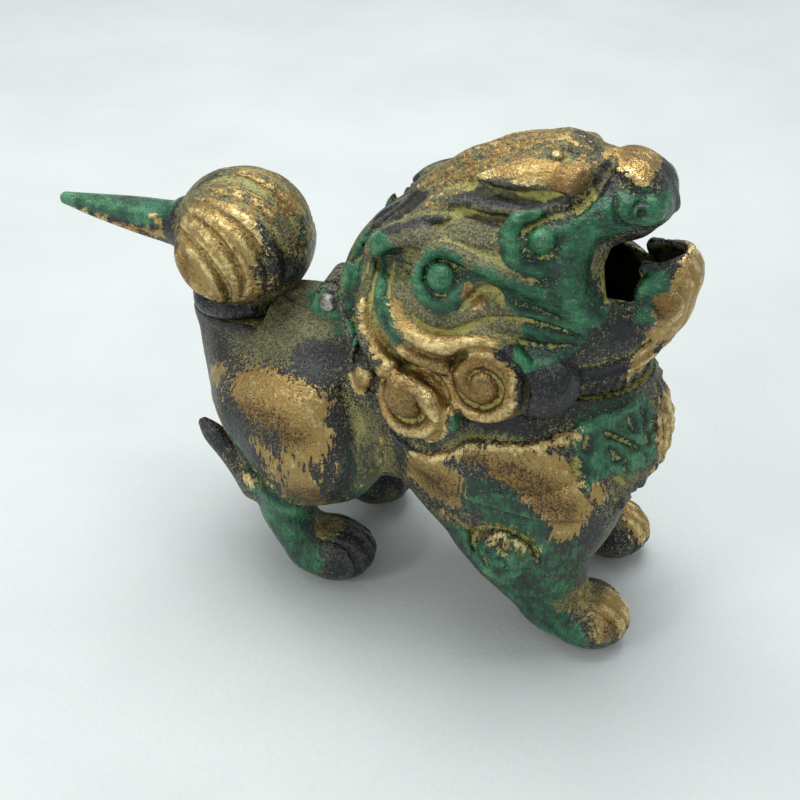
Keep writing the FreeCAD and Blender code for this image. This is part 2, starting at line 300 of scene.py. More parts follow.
def below_parting(lift):
    """A half space below the face between body and head, raised by lift."""
    def field(x, y, z):
        return (z - HINGE_Z - PART_SLOPE * (x - HINGE_X) - lift) / math.hypot(1, PART_SLOPE) + 0 * y

    far = np.full(3, 200.0)
    return field, -far, far


def above_parting(lift):
    """A half space above the same face."""
    under, low, high = below_parting(lift)
    return (lambda x, y, z: -under(x, y, z)), low, high


# ---- head -----------------------------------------------------------------


def skull(clay):
    clay.add(egg((22, 0, 67.5), (22.8, 21.3, 16.5), pitch=4))
    clay.add(egg((25.7, 0, 75.8), (21.6, 16.3, 14.3), pitch=26), 4)
    clay.add(egg((37, 0, 67.5), (17, 16.6, 14), pitch=10), 3)
    clay.add(egg((36.5, 0, 85), (12.5, 11, 9.4), pitch=8), 3)
    clay.add(egg((46.4, 0, 88.4), (7.6, 8.2, 6.2), pitch=-16), 2)
    clay.add(egg((46, 0, 65.4), (10.6, 12.4, 8.8), pitch=8), 3)
    clay.add(egg((52.8, 0, 72.2), (6.8, 7.4, 8.6), pitch=8), 2)
    clay.add(egg((55.6, 0, 76), (4.6, 5.2, 4.8), pitch=10), 1.5)
    clay.add(column(27, 27.5, 18.5, 50, 68), 2)


def eyes_and_brow(clay):
    """A heavy almond brow over each eye, the folds under it and the brushed hair of the forehead."""
    clay.add(egg((31.5, -5, 90.8), (10.4, 4.4, 3.7), pitch=9, yaw=7), 1.2)
    clay.add(egg((23.5, -4.2, 87), (9.4, 4.2, 3.2), pitch=24), 2)
    clay.add(rope([(14, 0, 83.2, 3), (21.5, 0, 88.4, 3.8), (28, 0, 91, 4), (36.5, 0, 93.4, 4.2),
        (41.5, 0, 92.2, 3.4)]), 2.5)
    clay.add(egg((38.4, -6, 92.2), (3.4, 3, 2.7)), 1.6)
    lid = [(14, 85.6, 0.3), (18, 88, 0.8), (23, 89.7, 1), (28, 90.1, 1), (33.5, 90.4, 0.9),
        (38, 91.2, 0.3)]
    clay.draw(lid, 1.5, -1.5, depth=(-99, -5.5))
    clay.draw([(18.6, 86.4, 0.3), (23, 87.9, 1), (28, 88.4, 1), (33.5, 88.9, 0.9), (38, 90.2, 0.3)], 1, 1)
    clay.draw([(20, 85.6, 0.3), (24, 86.2, 1), (29, 86.6, 1), (34, 87.2, 0.9), (40, 89.4, 0.4)], 1, -1)
    clay.draw([(22, 83.4, 0.3), (27, 83.8, 1), (32, 84.6, 1), (37, 86.4, 1), (41, 88.6, 0.4)], 1.1, 0.5)
    clay.cut(egg((36, -4.9, 96.3), (2.7, 1.5, 1.5), yaw=-8), 0.5)
    clay.add(egg((35.3, -4.4, 95), (1.2, 1.1, 1.1)), 0.2)
    for y, bend in ((-0.9, 0.2), (-2.2, 0.3), (-3.6, 0.5), (-5.2, 0.7), (-6.8, 0.9), (-8, 0.6)):
        clay.draw([(13, y * 1.5, 0.3), (20, y * 1.3 - bend, 1), (27, y - 0.4 * bend, 0.9),
            (32.5, y * 0.75, 0.3)], 0.7, -0.42, TOP, (82, 99))
    clay.draw([(36.5, -1.2, 0.3), (38.6, -1.4, 1), (41, -2, 0.4)], 0.7, -0.4, TOP, (90, 99))
    clay.draw([(40.2, -9, 1), (42.2, -6, 1), (43.2, -3.6, 0.8), (43.8, -1.4, 0.2)], 1.8, -1.2, TOP,
        (86, 99))


def muzzle(clay):
    clay.add(rope([(47.5, -7.2, 89.4, 2), (44, -8, 88.4, 2.4), (41.2, -9.8, 86, 2.4),
        (40.2, -11.2, 82.5, 2.6), (40.2, -12.4, 78.5, 2.8), (41.6, -12.6, 74.6, 2.8),
        (44.6, -12.4, 70.6, 2.4)]), 2)
    clay.add(egg((49.8, -3, 89.8), (3.8, 3.4, 3.4), pitch=-14), 1.2)
    clay.add(egg((47, -1.2, 91.8), (4.6, 4.8, 3.6), pitch=-10), 1.5)
    clay.add(egg((49.2, -5.4, 89.3), (3.9, 2.9, 3), pitch=6), 0.5)
    clay.add(egg((46.8, -7.4, 90.4), (1.4, 1.3, 1.5)), 0.4)
    clay.draw([(45.2, 91.6, 0.5), (46, 89.2, 1), (47.4, 87.8, 1), (49.6, 87.4, 0.5)], 0.8, -0.8)
    clay.draw([(50.6, 91, 0.4), (49, 91.2, 1), (48, 90, 1), (48.8, 88.6, 1), (50.4, 88.4, 0.4)], 0.55,
        -0.6, depth=(-99, -4))
    clay.cut(egg((49.6, -8.3, 89.8), (0.8, 0.8, 0.8)), 0.2)
    clay.draw([(43.4, -3.4, 0.4), (45.6, -5.6, 1), (48.6, -6.2, 1), (51.6, -5.4, 0.5)], 0.9, -0.6, TOP,
        (91, 99))
    clay.add(rope([(51.6, 0, 89.8, 2.2), (53.2, 0, 88.2, 1.2), (54, 0, 86.6, 0.6)]), 0.7)


def ears(clay):
    clay.add(egg((12.8, -11.6, 79.2), (8, 3.6, 4), pitch=26, yaw=-12), 1.2)
    clay.cut(egg((13.6, -15.2, 78.2), (5.6, 2.6, 2.5), pitch=22, yaw=-10), 1)
    clay.add(rope([(6.2, -8.2, 76.8, 0.8), (8.8, -9.4, 79, 1.2), (12, -10.4, 81.4, 1.3),
        (15.4, -10.6, 83.6, 1.2), (20, -10.8, 85.4, 0.6)]), 0.6)


def face_locks(clay):
    """The two spirals of the cheek and what flows out of them."""
    clay.add(egg((21.2, -17, 78.2), (2.5, 2.6, 2.5)), 0.3)
    clay.add(rope([(19.4, -18.6, 75.2, 0.9), (17.4, -17.6, 77.2, 1.1), (17.6, -16.2, 80, 1.2),
        (20, -15.4, 82, 1.3), (23.2, -15.6, 81.8, 1.3), (26.6, -15.9, 80.8, 1.3),
        (30.6, -15.7, 79.4, 1.3), (34.4, -15, 77.6, 1.3), (38.4, -13.9, 76.2, 1.2),
        (42, -12.6, 75.6, 0.7)]), 0.7)
    clay.add(rope([(24.6, -17.6, 77.4, 0.7), (22.6, -18.9, 75, 0.9), (19.6, -18.8, 74.6, 0.9),
        (17, -17.8, 75.6, 0.6)]), 0.5)
    clay.add(egg((35.6, -12, 85), (2.3, 2.8, 2.3)), 0.3)
    clay.add(rope([(40.4, -10.6, 84.6, 1.3), (38.8, -12.2, 81.6, 1.3), (35.6, -13.4, 80.4, 1.4),
        (32.2, -13.8, 81.6, 1.6), (30.6, -13, 84.4, 1.8), (31.4, -11.8, 87.2, 1.5),
        (34.2, -10.8, 88.6, 0.9)]), 0.5)
    clay.draw([(17.2, 72.2, 0.5), (19.7, 70.6, 1), (23.6, 70.4, 1), (26.8, 72, 1), (30, 73, 1),
        (34.5, 72.6, 1), (39.5, 71.6, 0.8), (44, 70.6, 0.4)], 1, -0.9)
    clay.draw([(25.2, 74.4, 0.5), (27.6, 76.6, 1), (29.6, 76.4, 1), (31.4, 74.8, 0.5)], 2, -1.4)
    clay.draw([(30, 70.4, 0.4), (34, 69.4, 1), (39, 68.6, 1), (44.5, 69.2, 0.4)], 0.8, -0.6)
    clay.draw([(28.5, 77.6, 0.4), (33, 75.6, 1), (38, 73.8, 1), (43.5, 73, 0.4)], 0.8, -0.45)


def mane_locks(clay):
    """Long bands that sweep down the back of the cheek into the curls."""
    clay.add(rope([(5.4, -5.5, 78.6, 0.6), (3.2, -8.6, 74.5, 0.9), (2.2, -10.6, 69.5, 1.1),
        (2.8, -12.6, 65, 1.2), (5.4, -15.4, 61.6, 1.1), (8.6, -17.6, 59.2, 0.8)]), 0.7)
    clay.draw([(6.4, 79, 0.5), (9, 76.6, 1), (9, 72.6, 1), (8.6, 68.5, 1), (10.6, 64.4, 1),
        (14, 61.6, 0.6)], 0.9, -0.9)
    clay.draw([(9.4, 77.4, 0.4), (10.6, 72.7, 1), (12.4, 68.9, 1), (16, 66.6, 0.6)], 1.3, 0.9)
    clay.draw([(11.6, 76.8, 0.4), (12.4, 73.4, 1), (14, 70.6, 1), (16.5, 69, 0.5)], 0.8, -0.7)
    clay.draw([(4.6, 76, 0.4), (5, 72, 1), (5, 67, 1), (7.4, 63, 0.5)], 0.7, -0.5)
    clay.add(rope([(7.6, -16.6, 69.6, 1.2), (8.8, -18, 65.8, 1.7), (12, -20.4, 62.4, 2),
        (16.6, -22.8, 60.6, 2.1), (21.2, -24, 59.2, 2.2), (24.4, -24, 56.4, 2.1),
        (24.4, -23.6, 53.2, 1.7), (21.5, -23.4, 51, 1.2)]), 1)
    clay.add(rope([(12.6, -18.2, 72, 1), (15.4, -19.8, 69.6, 1.5), (19.8, -21.2, 68.4, 1.7),
        (24.6, -21.4, 68.8, 1.8), (29.4, -21, 69.4, 1.9), (34, -20.6, 68, 1.8),
        (36.4, -20.8, 64.8, 1.4)]), 1)
    clay.add(rope([(14, -20, 66, 0.8), (18.6, -21.6, 65.2, 1.3), (23.4, -22.2, 65, 1.3),
        (26.5, -22.6, 64, 0.8)]), 0.8)
    clay.draw([(12.6, 66.4, 0.4), (17, 64, 1), (22, 63, 1), (26, 62, 0.5)], 0.7, -0.7, depth=(-99, -15))
    for y, x in ((-1.8, 0), (-5.4, 0), (-9, 1), (-12.4, 2)):
        clay.draw([(y * 0.5, 88 - x, 0.3), (y * 0.8, 80, 1), (y * 1.05, 72, 1), (y * 1.1, 64, 0.6)], 0.8,
            -0.8, FRONT, (-20, 13))


def curls(clay):
    """The three locks that end in curls over the shoulder."""
    clay.add(egg(CHEEK_KNOB, (6.6, 6, 6.6)), 1.5)
    clay.add(drum(BACK_CURL, CURL_FACE, 7.4, 3.4, 1.4), 0.6)
    clay.add(egg((17.6, -22, 57.2), (5.4, 3.2, 4.6), pitch=-20), 0.5)
    clay.spiral((18.4, -22.6, 57), CURL_FACE, 7.4, 0.9, 4.4, -1, 0.42)
    clay.add(drum(FRONT_CURL, CURL_FACE, 7.6, 3.4, 1.6), 0.6)
    clay.add(egg((30, -21.6, 63.2), (5.6, 2.8, 5.2)), 0.8)
    clay.spiral((30.2, -22.4, 63.4), CURL_FACE, 7.4, 1.1, 3.6, -1, 0.1)
    clay.add(egg((8.8, -18.6, 58.2), (2.3, 2.6, 3.8), pitch=-14), 0.6)
    clay.add(rope([(6.4, -16.6, 63, 0.5), (6, -18.6, 59, 0.8), (7.6, -20.2, 55.4, 0.8),
        (10.4, -20.6, 54.6, 0.7), (12, -20.4, 56.4, 0.4)]), 0.3)


def beard(clay):
    """The lip boss, the lobe of the lower lip and the combed fringe under the jaw."""
    clay.add(egg((52.4, -7.6, 71.8), (2.3, 2.3, 2.3)), 0.4)
    clay.add(egg((51.8, -4.8, 75.2), (3.6, 3.2, 3.2), pitch=14), 0.6)
    clay.add(egg((55.6, -5.4, 73.4), (2.6, 2.6, 3)), 1)
    clay.draw([(42, 65.4, 0.4), (45.6, 64.6, 1), (50, 65.6, 1), (54, 67.4, 0.6)], 1, -0.8)
    clay.draw([(39.5, 62.6, 0.4), (43, 61.4, 1), (48, 61.8, 1), (53, 63.4, 1), (57, 65.4, 0.5)], 0.9, 0.8)
    for i in range(11):
        x = 40.5 + 1.45 * i
        clay.draw([(x + 0.3, 60.6 + 0.16 * i, 1), (x, 57.2 + 0.1 * i, 1)], 0.5, -0.55)
    for i in range(6):
        y = -1 - 2.2 * i
        clay.draw([(y, 66.5, 0.5), (y * 1.06, 61, 1), (y * 1.1, 57, 1)], 0.6, -0.5, FRONT, (52, 99))
        clay.draw([(y, 79, 0.4), (y * 1.02, 73, 1), (y, 67.5, 0.6)], 0.7, -0.35, FRONT, (54, 99))


def hollow_head(clay):
    """The smoke space, the mouth and the parting face."""
    clay.cut(egg((22, 0, 67.5), (19.8, 18.5, 13.5), pitch=4))
    clay.cut(egg((25.5, 0, 75.8), (19, 13.5, 11), pitch=26), 1)
    clay.cut(egg((37, 0, 67.5), (14, 14, 11), pitch=10), 1)
    clay.cut(egg((45, 0, 71), (9.5, 9.5, 7.5), pitch=20), 1)
    clay.cut(egg((42.6, 0, 83.4), (6.2, 6.6, 5)), 1)
    clay.cut(egg((51.8, 0, 79), (5.2, 4, 6.4), pitch=10), 0.6)
    clay.cut(column(27, 25, 16, 40, 64), 0.5)
    clay.cut(plate([(44.6, 78.6), (46.2, 74.8), (49.4, 74.6), (50.8, 77.4), (52, 83), (45.6, 82.2)], -40,
        40), 0.8)
    clay.cut(plate([(50.2, 77.8), (70, 84.2), (70, 93.6), (52, 86), (48.8, 82.4)], -40, 40), 0.6)


def neck_room(clay):
    """The curls hang outside the neck: this clears them from the body below the parting face."""
    neck, low, high = column(27, 27.9, 18.9, 40, 75)
    under = below_parting(PART_GAP)[0]
    clay.cut(((lambda x, y, z: np.maximum(neck(x, y, z), under(x, y, z))), low, high), SHARP)


def teeth(clay):
    """The torn-looking rim of the lower lip."""
    for i in range(9):
        turn = math.radians(12.5 * i)
        size = 0.9 + 0.3 * math.sin(5 * i)
        x = 52 + 5.4 * math.cos(turn)
        clay.add(egg((x, -3.9 * math.sin(turn), 78.3 + 0.30 * (x - 52)),
            (size, size, 1.1 + 0.4 * math.cos(7 * i))), 0.5)


def hinge_tongue(clay):
    clay.cut(drum(HINGE, ACROSS, 3.4, 6, 0.2), 0.2)
    clay.add(drum(HINGE, ACROSS, 2.9, 2.2, 0.3), 0.1)
    clay.add(plate([(-5.4, 63), (-3.5, 60.5), (-1, 61.2), (2.6, 61.2), (2.6, 66.2), (-1.7, 65.6)], -2.2,
        2.2), 0.4)
    clay.cut(drum(HINGE, ACROSS, 1.25, 9, 0), 0.05)


def uneven(clay, height=0.12, length=11):
    """The gentle waviness of a form that was modelled by hand in wax."""
    x, y, z = clay.grid(tuple(slice(0, n) for n in clay.d.shape))
    for i in range(5):
        a, b, c = (math.cos(1.7 * i + k * 2.1 + 0.4) / length * (0.8 + 0.2 * i) for k in range(3))
        clay.d += (height / 2.4 * np.sin(2 * math.pi * (a * x + b * y + c * z) + i)).astype(np.float32)


def model_head(step):
    clay = Clay((-8, -28, 47), (64, 2 * step, 101), step)
    for shape in (skull, muzzle, eyes_and_brow, ears, face_locks, beard):
        shape(clay)
    clay.cut(below_parting(PART_GAP), SHARP)
    for shape in (mane_locks, curls, uneven, neck_room):
        shape(clay)
    clay.solid = clay.d.copy()
    for shape in (hollow_head, teeth, hinge_tongue):
        shape(clay)
    return clay


# ---- body -----------------------------------------------------------------


def trunk(clay):
    clay.add(egg((-9.5, 0, 40), (20.8, 18.3, 18.5)))
    clay.add(egg((12, 0, 41), (28, 16, 17.6)), 6)
    clay.add(egg((37.4, 0, 43), (22.6, 18.6, 17)), 6)
    clay.add(column(27, 27.5, 18.2, 42, 64), 5)
    clay.add(rope([(-22, 0, 48, 9.6), (-24, 0, 53.5, 8.6)]), 4)


def hind_legs(clay):
    clay.add(egg((-5.6, -12.3, 36.5), (15.6, 10.4, 16.8), pitch=10), 1.6)
    clay.add(egg((-14, -10.5, 40), (11, 9.5, 11)), 2)
    clay.add(rope([(-11, -13, 25, 7), (-10.6, -13, 15, 5.4), (-7, -12.4, 6.2, 5.4)]), 3)
    clay.add(egg((-1.5, -12, 6), (8.6, 7.2, 6.3)), 2)
    clay.add(egg((-14.6, -18.6, 27), (2.7, 2.4, 4.6), pitch=-60), 0.8)
    clay.add(rope([(-16, -16, 22.5, 3.2), (-20.5, -14.6, 26.5, 2.8), (-25, -13.2, 30, 2.3),
        (-28, -12.4, 32.4, 1.2)], 0.8), 1.5)
    clay.draw([(-24, 39, 0.4), (-18, 33.5, 1), (-12.5, 27.5, 1), (-9, 23, 1), (-5, 20, 0.9),
        (0, 19.5, 0.4)], 1.8, -1.1, depth=(-99, -8))
    clay.draw([(3, 50, 0.4), (5.6, 44, 1), (5.8, 36, 1), (3, 27, 1), (-0.5, 22, 0.4)], 2.6, -0.8,
        depth=(-99, -8))


def front_legs(clay):
    clay.add(egg((33, -12, 37.5), (20, 9.7, 14.5), pitch=6), 4.5)
    clay.add(egg((40, -13.3, 33), (13.5, 8.8, 15), pitch=-14), 4.5)
    clay.add(rope([(41, -13.5, 25, 8.6), (44, -13.2, 14, 6.2), (45, -12.6, 6.3, 5.8)]), 3)
    clay.add(rope([(24.5, -12.5, 30, 6.5), (33, -14, 19.5, 6), (42, -13, 9, 5.4)]), 3)
    clay.add(egg((50.8, -12.6, 5.8), (8.4, 7.2, 6.2)), 1.6)
    clay.add(egg((35.3, -21.8, 25.8), (5.2, 4.4, 4.8)), 0.4)
    clay.add(rope([(29.4, -19.8, 27, 0.9), (32.4, -21.2, 30.4, 1.2), (37, -22, 31.2, 1.4),
        (40.8, -22, 28.4, 1.2), (41.4, -21.6, 24, 0.7)]), 0.9)
    clay.spiral((35.4, -25.9, 27.2), (0.06, -0.93, 0.36), 3.4, 0.7, 2.2, -1, 0.3)
    clay.draw([(34, 19.8, 0.3), (30.6, 21.6, 1), (29.2, 25.4, 1), (30.4, 29.4, 1), (34.2, 32, 1),
        (38.6, 31.4, 1), (41.4, 28, 1), (41.6, 23.6, 0.3)], 1.1, -1.2, depth=(-40, -12))
    clay.draw([(22, 33.5, 0.4), (27.5, 28.5, 1), (32.5, 26, 1), (38.5, 25.8, 0.6), (41.5, 22.5, 0.4)],
        1.2, -0.7, depth=(-99, -8))


def toes(clay, front_x, y_centre):
    for offset in (-4.2, -1.4, 1.4, 4.2):
        y = y_centre + offset
        clay.draw([(y, 1, 0.8), (y, 6, 1), (y_centre + offset * 0.8, 12.5, 0.4)], 0.7, -0.9, FRONT,
            (front_x - 6.5, front_x + 9))


def shoulder_rim(clay):
    """The shoulder's upper edge stands up around the curls that hang over it."""
    clay.draw([(56, 56, 0.5), (48, 54.5, 1), (43, 52.4, 1), (38, 50.6, 1), (32, 49.6, 1), (27.5, 48.6, 1),
        (24, 45.6, 1), (18.5, 43.2, 1), (13, 44.6, 0.5)], 1, 1.1, depth=(-99, -8), lip=5)
    clay.cut(drum(BACK_CURL, CURL_FACE, 8.3, 5.5, 1.4), 0.5)
    clay.cut(drum(FRONT_CURL, CURL_FACE, 8.5, 5.5, 1.6), 0.5)
    clay.cut(egg(CHEEK_KNOB, (7.4, 6.8, 7.4)), 0.5)


def chest_tufts(clay):
    """Short locks combed into the front of the chest, each row leaning its own way."""
    for j in range(5):
        for i in range(6):
            y = -1.4 - 2.9 * i - 1.3 * (j % 2) + 0.5 * math.sin(3 * i + 2 * j)
            z = 55 - 3.1 * j - 0.5 * i + 0.6 * math.cos(4 * i + j)
            lean = 1.2 * math.sin(2 * i + 1.7 * j)
            clay.draw([(y - 0.9, z, 0.2), (y, z - 1.4, 1), (y + lean, z - 3.4, 0.9),
                (y + 1.5 * lean, z - 4.6, 0.2)], 0.9, -0.7, FRONT, (44, 99))
            clay.draw([(y + 1.3, z - 0.6, 0.2), (y + 1.2 + 0.5 * lean, z - 2.4, 1),
                (y + 1.4 + lean, z - 4, 0.2)], 0.9, 0.45, FRONT, (44, 99))


def hinge_ears(clay):
    clay.add(plate([(-17, 50), (-7.3, 50), (-7.3, 60.6), (-11.5, 60.4), (-17, 57.4)], -2.2, 2.2), 1.5)
    clay.draw([(-18, -0.6, 0.4), (-13, -3.2, 1), (-7, -5.4, 0.8)], 0.8, 0.7, TOP, (52, 64))
    clay.add(drum((HINGE_X, -3.8, HINGE_Z), ACROSS, 2.9, 1.3, 0.3), 0.2)
    clay.add(plate([(-9, 50), (-2.3, 50), (-1.9, 58.8), (-3.5, 61), (-6.4, 60.7), (-9, 56)], -5.1, -2.5),
        0.5)
    clay.cut(plate([(-7, 57.1), (4, 57.1), (4, 70), (-7, 70)], -2.5, 2.5), 0.2)
    clay.cut(drum(HINGE, ACROSS, 1.2, 9, 0), 0.05)


def hollow_body(clay):
    """The bowl, its mouth and spigot."""
    clay.cut(above_parting(-PART_GAP), SHARP)
    clay.add(spigot(), 0.3)
    bowl = [egg((-9.5, 0, 40), (17.8, 15.5, 15.5)), egg((12, 0, 41), (25, 13.4, 14.6)),
        egg((37.4, 0, 43), (19.6, 15.6, 14)), column(27, 21.8, 12.8, 40, 70)]
    for space in bowl:
        clay.cut(space, 0.8)


def spigot():
    ring, low, high = column(27, 24, 15, 50, 70)
    roof = below_parting(2.6)[0]
    return (lambda x, y, z: np.maximum(ring(x, y, z), roof(x, y, z))), low, high


def tail_seat(clay):
    clay.add(drum((SCREW_X, 0, 50.5), UPWARD, 5.6, 4.5, 0.3), 0.5)
    clay.cut(plate([(-45, 55), (-15.6, 55), (-15.6, 80), (-45, 80)], -30, 30), 0.1)
    clay.cut(egg(BALL, (13.3, 13, 13.3)), 0.1)
    clay.cut(drum((SCREW_X, 0, 54.6), UPWARD, 3.1, 5, 0), 0.05)
    clay.cut(drum((SCREW_X, 0, 47.5), UPWARD, 1.5, 4, 0), 0.05)
    clay.cut(drum((SCREW_X, 0, 44), UPWARD, 3.1, 2, 0), 0.05)


def model_body(step):
    clay = Clay((-34, -27, -3), (64, 2 * step, 67), step)
    for shape in (trunk, hind_legs, front_legs, shoulder_rim, chest_tufts, uneven):
        shape(clay)
    toes(clay, 55.6, -12.5)
    toes(clay, 3, -12)
    clay.solid = clay.d.copy()
    hollow_body(clay)
    tail_seat(clay)
    hinge_ears(clay)
    clay.cut(plate([(-50, -50), (80, -50), (80, 0), (-50, 0)], -60, 60), 0.3)
    return clay


# ---- tail -----------------------------------------------------------------


# each lock on the ball: its root by the spike, then its arc's centre, radius, first and last angle
LOCK_ARCS = [
    ((-29, 79.5), (-21.5, 68.5), 12.5, 94, 5),
    ((-30, 78.5), (-21.5, 68.5), 11, 98, -26),
    ((-30.5, 77), (-23.5, 67.5), 10.5, 93, -24),
    ((-31, 75.5), (-26.5, 66.5), 9.5, 84, -28),
]
PARTING_ARC = ((-31.5, 73), (-29, 64), 8.5, 75, -30)
ARC_POINTS = 5
ARC_FADE = 0.4           # how wide a lock's line is at its two ends


def combed(root, centre, radius, first, last):
    """A drawn line that leaves the spike's root and then follows an arc down the front of the ball."""
    turns = np.radians(np.linspace(first, last, ARC_POINTS))
    widths = [1] * (ARC_POINTS - 1) + [ARC_FADE]
    return [(*root, ARC_FADE)] + [
        (centre[0] + radius * math.cos(turn), centre[1] + radius * math.sin(turn), width)
        for turn, width in zip(turns, widths)]


def ball_locks(clay):
    """Each side of the ball is combed in long locks that run back from the spike and gather below."""
    locks = [combed(*arc) for arc in LOCK_ARCS]
    parting = combed(*PARTING_ARC)
    for side in (-1, 1):
        near = (side * 10 - 9, side * 10 + 9)
        for line in locks:
            clay.draw(line, 1, -0.75, depth=near)
        clay.draw(parting, 1.5, -1.3, depth=near)
        for line, other in zip(locks, locks[1:] + [parting]):
            between = [((a[0] + b[0]) / 2, (a[1] + b[1]) / 2, 0.6) for a, b in zip(line, other)]
            clay.draw(between, 0.6, -0.25, depth=near)


def model_tail(step):
    clay = Clay((-63, -15, 48), (-6, 15, 84), step, mirrored=False)
    clay.add(egg(BALL, (12.9, 12.6, 12.9)))
    ball_locks(clay)
    for side in (-1, 1):
        clay.add(rope([(-29.6, side * 7.6, 70.4, 1.8), (-28.6, side * 8.2, 67.4, 2.9),
            (-26.4, side * 8.6, 64, 3), (-23.6, side * 7.8, 60.4, 1.8)]), 0.4)
    clay.add(rope([(-31, 0, 66, 3), (-30, 0, 61.5, 3.6), (-27.4, 0, 58, 4.4), (-24.5, 0, 57, 5.4)]), 0.6)
    clay.add(rope([(-30.4, -3, 57.4, 1.6), (-27.6, -6.6, 57, 1.9), (-23, -8, 57.2, 1.7),
        (-18.6, -6.6, 57.4, 1.2)]), 0.4)
    clay.add(egg((-23, 0, 56.6), (8.4, 8.2, 4)), 0.8)
    clay.add(egg((-33.6, 0, 69.4), (3.6, 5.2, 5), pitch=-6), 1)
    clay.add(rope([(-33, 0, 69, 4.3), (-40, 0, 69.2, 3.5), (-50, 0, 69.7, 2.3), (-59, 0, 70.2, 1.2)],
        1.05), 0.7)
    for side in (-1, 1):
        clay.draw([(-36, 66.4, 0.6), (-44, 67.4, 1), (-52, 68.6, 1), (-59.5, 69.8, 0.5)], 0.9, 0.5,
            depth=(side * 9 - 8, side * 9 + 8))
        clay.draw([(-37, 71.6, 0.6), (-44, 71.6, 1), (-52, 71, 1), (-58.5, 70.8, 0.5)], 0.8, 0.4,
            depth=(side * 9 - 8, side * 9 + 8))
    clay.solid = clay.d.copy()
    clay.cut(plate([(-70, 30), (0, 30), (0, 55), (-70, 55)], -30, 30), 0.1)
    clay.add(drum((SCREW_X, 0, 52.8), UPWARD, 3, 2.8, 0.2), 0.1)
    clay.cut(drum((SCREW_X, 0, 53), UPWARD, 1.25, 4.5, 0), 0.05)
    return clay


# ---- from clay to mesh ----------------------------------------------------

MM = 0.001
CLIP = 2.0               # how deep, in mm, the blurred field looks for hollows and edges


def blurred(field, cells):
    """The field averaged twice along each axis over a run of that many cells to each side."""
    field = np.clip(field, -CLIP, CLIP)
    width = 2 * cells + 1
    for axis in (0, 1, 2) * 2:
        pad = [(cells + 1, cells) if i == axis else (0, 0) for i in range(3)]
        total = np.cumsum(np.pad(field, pad, mode="edge"), axis, dtype=np.float64)
        ahead = np.take(total, np.arange(width, total.shape[axis]), axis)
        behind = np.take(total, np.arange(total.shape[axis] - width), axis)
        field = ((ahead - behind) / width).astype(np.float32)
    return field


def sampled(field, clay, points):
    """A field's values at points, in mm. The points of a mirrored clay are already on its side."""
    g = np.clip((points - clay.low) / clay.step, 0, np.array(field.shape) - 1.001)
    i = g.astype(int)
    t = g - i
    value = 0
    for corner in range(8):
        bits = [(corner >> axis) & 1 for axis in range(3)]
        weight = np.prod([t[:, a] if bits[a] else 1 - t[:, a] for a in range(3)], axis=0)
        value = value + weight * field[tuple(i[:, a] + bits[a] for a in range(3))]
    return value


def largest_part(points, quads):
    """The biggest connected surface alone, so that no crumb of clay is left beside it."""
    label = np.arange(len(points))
    while True:
        lowest = label[quads].min(1)
        fresh = label.copy()
        np.minimum.at(fresh, quads.ravel(), np.repeat(lowest, quads.shape[1]))
        fresh = fresh[fresh]
        if (fresh == label).all():
            break
        label = fresh
    names, counts = np.unique(label, return_counts=True)
    kept = label == names[counts.argmax()]
    index = np.cumsum(kept) - 1
    return points[kept], index[quads[kept[quads[:, 0]]]]


def meshed(name, clay):
    """A mesh, in metres, of the whole of the clay's surface; and its points in mm."""
    field = clay.d
    if clay.mirrored:
        centre = int(round(-clay.low[1] / clay.step))
        right = field[:, :centre + 1]
        field = np.concatenate([right, right[:, -2::-1]], 1)
    volume = openvdb.FloatGrid(background=FAR)
    volume.copyFromArray(np.ascontiguousarray(np.clip(field, -FAR, FAR)))
    points, quads = volume.convertToQuads(0.0)
    points, quads = largest_part(np.array(points) * clay.step + clay.low, quads)
    mesh = bpy.data.meshes.new(name)
    mesh.from_pydata((points * MM).tolist(), [], quads.tolist())
    mesh.update()
    if signed_volume(points, quads) < 0:
        mesh.flip_normals()
    mesh.shade_smooth()
    made = bpy.data.objects.new(name, mesh)
    bpy.context.scene.collection.objects.link(made)
    return made, points


def signed_volume(points, quads):
    a, b, c, d = (points[quads[:, i]] for i in range(4))
    return (a * (np.cross(b, c) + np.cross(c, d))).sum()


# ---- paint ----------------------------------------------------------------


def thin(form, most):
    """The same form, painted so thinly that the brush leaves only streaks of it."""
    return *form, most


def coverage(points, forms, soft):
    """How far each point is inside painted forms: 0.5 on their edge, 0 to 1 over soft mm each way."""
    x, y, z = points.T
    value = np.zeros(len(points))
    for field, low, high, *most in forms:
        near = ((points > low - soft) & (points < high + soft)).all(1)
        laid = np.minimum(0.5 - field(x[near], y[near], z[near]) / (2 * soft), *(most or [1.0]))
        value[near] = np.maximum(value[near], laid)
    return np.clip(value, 0, 1)


